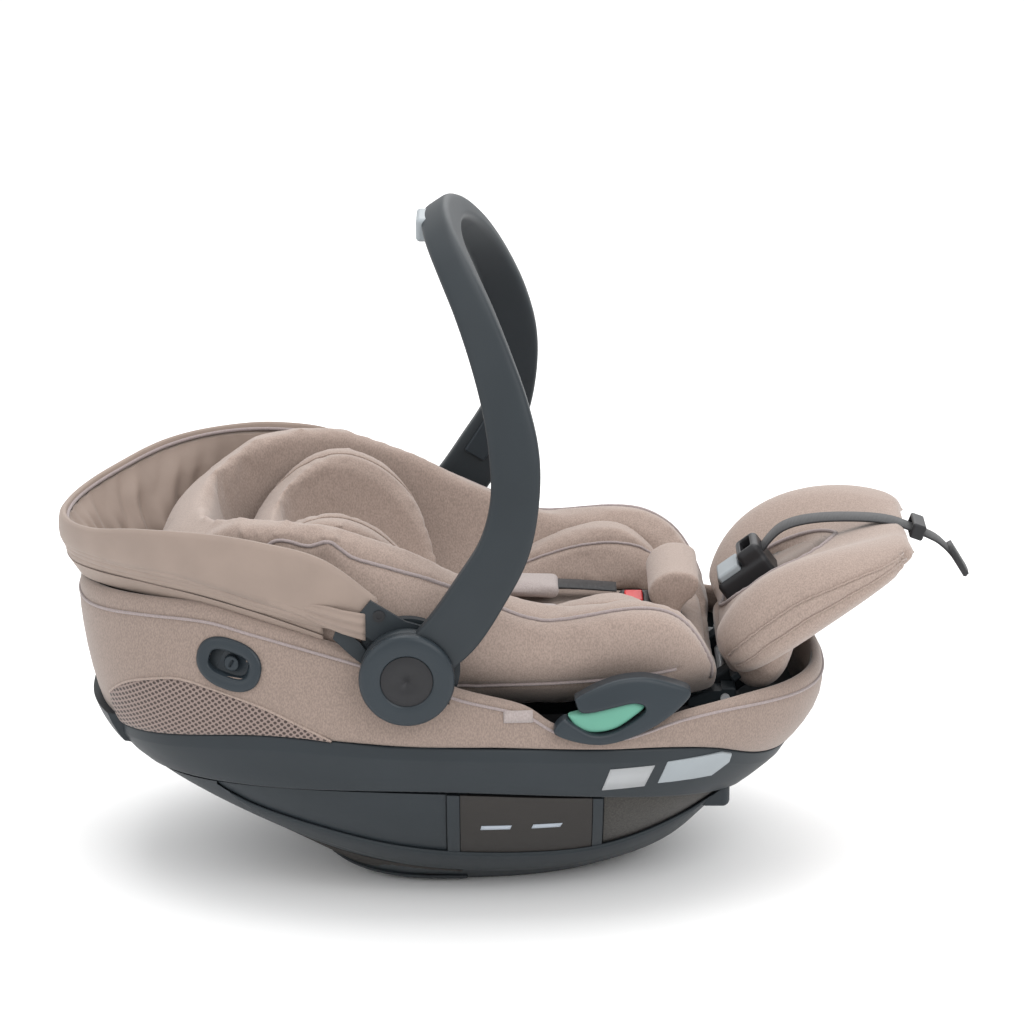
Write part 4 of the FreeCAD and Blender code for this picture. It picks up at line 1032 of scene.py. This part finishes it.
def sew_leg_pad(pad):
    """Window with piping and a fabric bed, and two seams along each side."""
    up = Vector((-math.sin(LEG_TILT), 0, math.cos(LEG_TILT)))
    tree = surface_tree(pad)
    s0, s1, half = 36.0, 146.0, 37.0
    rim = []
    for k in range(96):
        a = 2 * math.pi * k / 96
        c, q = math.cos(a), math.sin(a)
        s = (s0 + s1) / 2 + ((s1 - s0) / 2 + 3) * math.copysign(abs(c) ** 0.8, c)
        y = (half + 3) * math.copysign(abs(q) ** 0.8, q)
        start = leg_place(s, y, 130)
        place, _, _, _ = tree.ray_cast(Vector(start), -up)
        rim.append(np.array(place) if place is not None else leg_place(s, y, 44))
    rim = np.array(rim)
    centre = rim.mean(axis=0)
    rings = []
    for share, depth in ((1.0, 3.0), (0.97, 7.0), (0.90, 10.0), (0.78, 10.5), (0.60, 8.5), (0.40, 6.5),
            (0.20, 5.0), (0.02, 4.5)):
        rings.append(centre + (rim - centre) * share - np.array(up) * depth * MM)
    under = [ring - np.array(up) * 5 * MM for ring in reversed(rings)]
    bed = grid("leg_window_bed", rings + under, "shell_cloth", "leg_rest", closed_v=True, caps=True)
    tube("leg_window_piping", laid_on(tree, rim, 0.0006), 0.0017, "piping", "leg_rest", "grey_cloth",
        closed=True)
    for side, word in SIDES:
        for k, share in enumerate((0.34, 0.66)):
            points = []
            for s in np.linspace(26, 198, 60):
                half, low, wing = (np.interp(s, [r[0] for r in LEG_ROWS],
                    [r[c] for r in LEG_ROWS]) for c in (1, 2, 3))
                points.append(leg_place(s, side * half * 1.02, low + share * (wing - low)))
            seam(pad, "leg_side_seam_%s_%d" % (word, k), laid_on(tree, points, 0.0), "leg_rest",
                "shell_cloth", 0.0009, "shell_cloth", 0.0022)


SKIRT = [(15, 30), (13, 8), (18, -10), (33, -19), (52, -17), (70, -6), (86, 9), (72, 24), (42, 34)]


def build_leg_skirt():
    """The padded lower end of the leg rest cover, tucked down behind the seat."""
    outline = smooth_line(SKIRT + SKIRT[:1], 60)[:-1]
    centre = np.array(outline).mean(axis=0)
    rings = []
    for y in np.linspace(-1, 1, 41):
        swell = (1 - abs(y) ** 5) ** 0.5 if abs(y) < 1 else 0.02
        rings.append([leg_place(centre[0] + (s - centre[0]) * swell, y * 97.0,
            centre[1] + (n - centre[1]) * swell)
            for s, n in outline])
    skirt = grid("leg_skirt", rings, "shell_cloth", "leg_rest", closed_v=True, caps=True)


BUCKET_TOP = [(-310, 268), (-288, 285), (-250, 308), (-212, 328), (-168, 335), (-123, 331), (-79, 317),
    (-43, 299), (1, 275), (45, 255), (90, 258), (127, 262), (155, 254), (180, 228), (197, 190), (205, 160)]
HEAD_TOP = [(-240, 236), (-214, 264), (-176, 305), (-137, 325), (-102, 318), (-59, 277), (-40, 236),
    (-20, 196)]


def sew_bucket(pad):
    top = side_line(BUCKET_TOP)
    tree = surface_tree(pad)
    for side, word in SIDES:
        def outer(x):
            reach = 310.0 if x > -70 else 218.0
            return 172.0 * (1 - min(1.0, abs(x + 70) / reach) ** 3) ** (1 / 3)
        points = [(x * MM, side * (outer(x) - 15) * MM, (top(x) + 60) * MM) for x in np.linspace(-272, 160,
            110)]
        path = list(dropped_on(tree, points, 0.0))
        points = [(x * MM, side * (outer(x) - 9) * MM, z * MM) for x, z in
            ((168, 243), (176, 232), (184, 219), (190, 205), (194, 190), (196, 178))]
        path += list(laid_on(tree, points, 0.0))
        seam(pad, "wing_piping_" + word, smooth_line(path[::4] + [path[-1]], 160), "seat", "grey_cloth",
            0.0016)
        points = [(x * MM, side * 0.2, 0.171) for x in np.linspace(-190, 184, 80)]
        seam(pad, "bucket_edge_piping_" + word, laid_on(tree, points, 0.0), "seat", "shell_cloth", 0.0015)


def sew_head(pad):
    top = side_line(HEAD_TOP)
    tree = surface_tree(pad)
    for side, word in SIDES:
        points = [(x * MM, side * 0.092, (top(x) + 60) * MM) for x in np.linspace(-208, -52, 60)]
        path = dropped_on(tree, points, 0.0)
        seam(pad, "head_piping_" + word, path, "headrest", "shell_cloth", 0.0011, "shell_cloth")


def sew_hip(pad, side, word):
    tree = surface_tree(pad)
    low, high = [np.array(v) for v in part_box("hip_cushion_" + word)]
    mid_y = (low[1] + high[1]) / 2
    points = [(x, mid_y - side * 0.006, high[2] + 0.03) for x in np.linspace(low[0] + 0.008, high[0] - 0.008,
        50)]
    path = dropped_on(tree, points, 0.0)
    seam(pad, "hip_piping_" + word, path, "seat", "grey_cloth", 0.0012)


def build_webbing():
    """Harness straps as thin ribbons in place of the plain strips."""
    for word in ("left", "right"):
        low, high = [np.array(v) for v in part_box("shoulder_strap_" + word)]
        mid = (low + high) / 2
        width, sag = high[1] - low[1], (high[2] - low[2])
        path = smooth_line([(x, mid[1], z) for x, z in ((low[0], high[2] - 0.001),
            (low[0] * 0.7 + high[0] * 0.3, high[2] - 0.001),
            (mid[0] * 0.6 + high[0] * 0.4, mid[2] + sag * 0.1), (high[0], low[2] + 0.001))], 40)
        strap = ribbon("shoulder_webbing_" + word, path, min(width, 0.036), 0.0018, "black_webbing", "seat")
        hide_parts("shoulder_strap_" + word)


PADS = (  # node, new name, material, body, slot, voxel mm, smoothing, pressure, cap mm
    ("bucket_pad", "bucket_padding", "shell_cloth", "seat", "shell_cloth", 5.0, 10, 3.0, 5.0),
    ("head_cushion", "head_hugger", "shell_cloth", "headrest", "shell_cloth", 4.0, 8, 3.0, 3.5),
    ("head_pillow", "head_pillow_pad", "shell_cloth", "headrest", "grey_cloth", 2.5, 6, 3.0, 3.0),
    ("seat_cushion", "seat_cushion_pad", "shell_cloth", "seat", "shell_cloth", 3.5, 6, 3.0, 3.0),
    ("hip_cushion_left", "hip_pad_left", "shell_cloth", "seat", "shell_cloth", 3.0, 8, 3.0, 5.0),
    ("hip_cushion_right", "hip_pad_right", "shell_cloth", "seat", "shell_cloth", 3.0, 8, 3.0, 5.0),
    ("shoulder_pad_left", "shoulder_pad_l", "grey_cloth", "seat", "grey_cloth", 2.0, 5, 3.0, 2.5),
    ("shoulder_pad_right", "shoulder_pad_r", "grey_cloth", "seat", "grey_cloth", 2.0, 5, 3.0, 2.5),
    ("crotch_pad", "crotch_flap", "shell_cloth", "seat", "shell_cloth", 2.5, 8, 3.0, 3.0),
    ("leg_pad", "leg_padding", "shell_cloth", "leg_rest", "shell_cloth", 4.0, 6, 3.0, 3.5),
)


def build_pads():
    pads = {}
    for node, name, material, body, slot, voxel, smoothing, pressure, cap in PADS:
        pad = remeshed(node, name, material, body, slot, voxel * MM, smoothing)
        plump(pad, pressure, cap * MM)
        pads[node] = pad
    simulate()
    for pad in pads.values():
        finer(pad)
    sew_leg_pad(pads["leg_pad"])
    build_leg_skirt()
    sew_bucket(pads["bucket_pad"])
    sew_head(pads["head_cushion"])
    for side, word in SIDES:
        sew_hip(pads["hip_cushion_" + word], side, word)


ROUNDED = (  # node, material, body, slot, voxel mm, smoothing
    ("adjuster_housing", "black_plastic", "leg_rest", "slate_plastic", 0.9, 5),
    ("harness_buckle", "black_plastic", "seat", "black_plastic", 0.8, 4),
    ("release_lever_left", "grey_plastic", "lever_left", "grey_plastic", 0.8, 3),
    ("release_lever_right", "grey_plastic", "lever_right", "grey_plastic", 0.8, 3),
)


HOOK = [(72, 202), (89, 210), (108, 215.5), (129, 216), (150, 210), (169, 200), (159, 187), (136, 173),
    (109, 164), (88, 163),
    (65, 169), (55, 176), (64, 186), (72, 181), (88, 172), (106, 173), (127, 184), (131, 191), (122, 195),
    (106, 193), (88, 190), (77, 191)]
TONGUE = [(67, 187), (80, 190), (98, 193), (121, 196), (131, 191), (122, 183), (106, 174), (88, 172),
    (74, 177)]


def moulding(name, line, low, high, edge, side, material, body, slot=None):
    """A rounded moulding of a side view outline, bent to the hull; low and high are offsets in mm."""
    curve = bpy.data.curves.new(name, "CURVE")
    curve.dimensions, curve.fill_mode = "2D", "BOTH"
    spline = curve.splines.new("POLY")
    fine = smooth_line(line + line[:1], 240)[:-1]
    spline.points.add(len(fine) - 1)
    for point, (x, z) in zip(spline.points, fine):
        point.co = (x * MM, z * MM, 0.0, 1.0)
    spline.use_cyclic_u = True
    curve.extrude = ((high - low) / 2 - edge) * MM
    curve.bevel_depth, curve.bevel_resolution, curve.offset = edge * MM, 4, -edge * MM
    mesh = evened_mesh(name, baked(linked(name, curve)), 0.0011, 4)
    u, w, d = read_points(mesh).T / MM
    write_points(mesh, np.stack(hull_place(u, w, (low + high) / 2 + d, side), axis=-1))
    if side < 0:
        mesh.flip_normals()
    obj = dress(name, mesh, material, body, slot)
    outward(obj)
    return obj


def build_guides():
    for side, word in SIDES:
        guide = moulding("belt_guide_moulding_" + word, HOOK, 1.0, 18.0, 2.6, side, "slate_satin", "carrier",
            "slate_plastic")
        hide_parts("belt_guide_" + word)
        tongue = moulding("belt_guide_tongue_" + word, TONGUE, 1.0, 13.5, 3.0, side, "green_plastic",
            "carrier")
        if side > 0:
            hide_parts("belt_guide_tongues")


def build_rounded():
    for node, material, body, slot, voxel, smoothing in ROUNDED:
        remeshed(node, node + "_moulding", material, body, slot, voxel * MM, smoothing)


# ---- build everything
build_stage()
build_strap()
paint_cad()
build_rim()
build_cover()
build_skid()
build_handle()
build_canopy()
build_sockets()
build_guides()
build_pads()
build_webbing()
build_rounded()
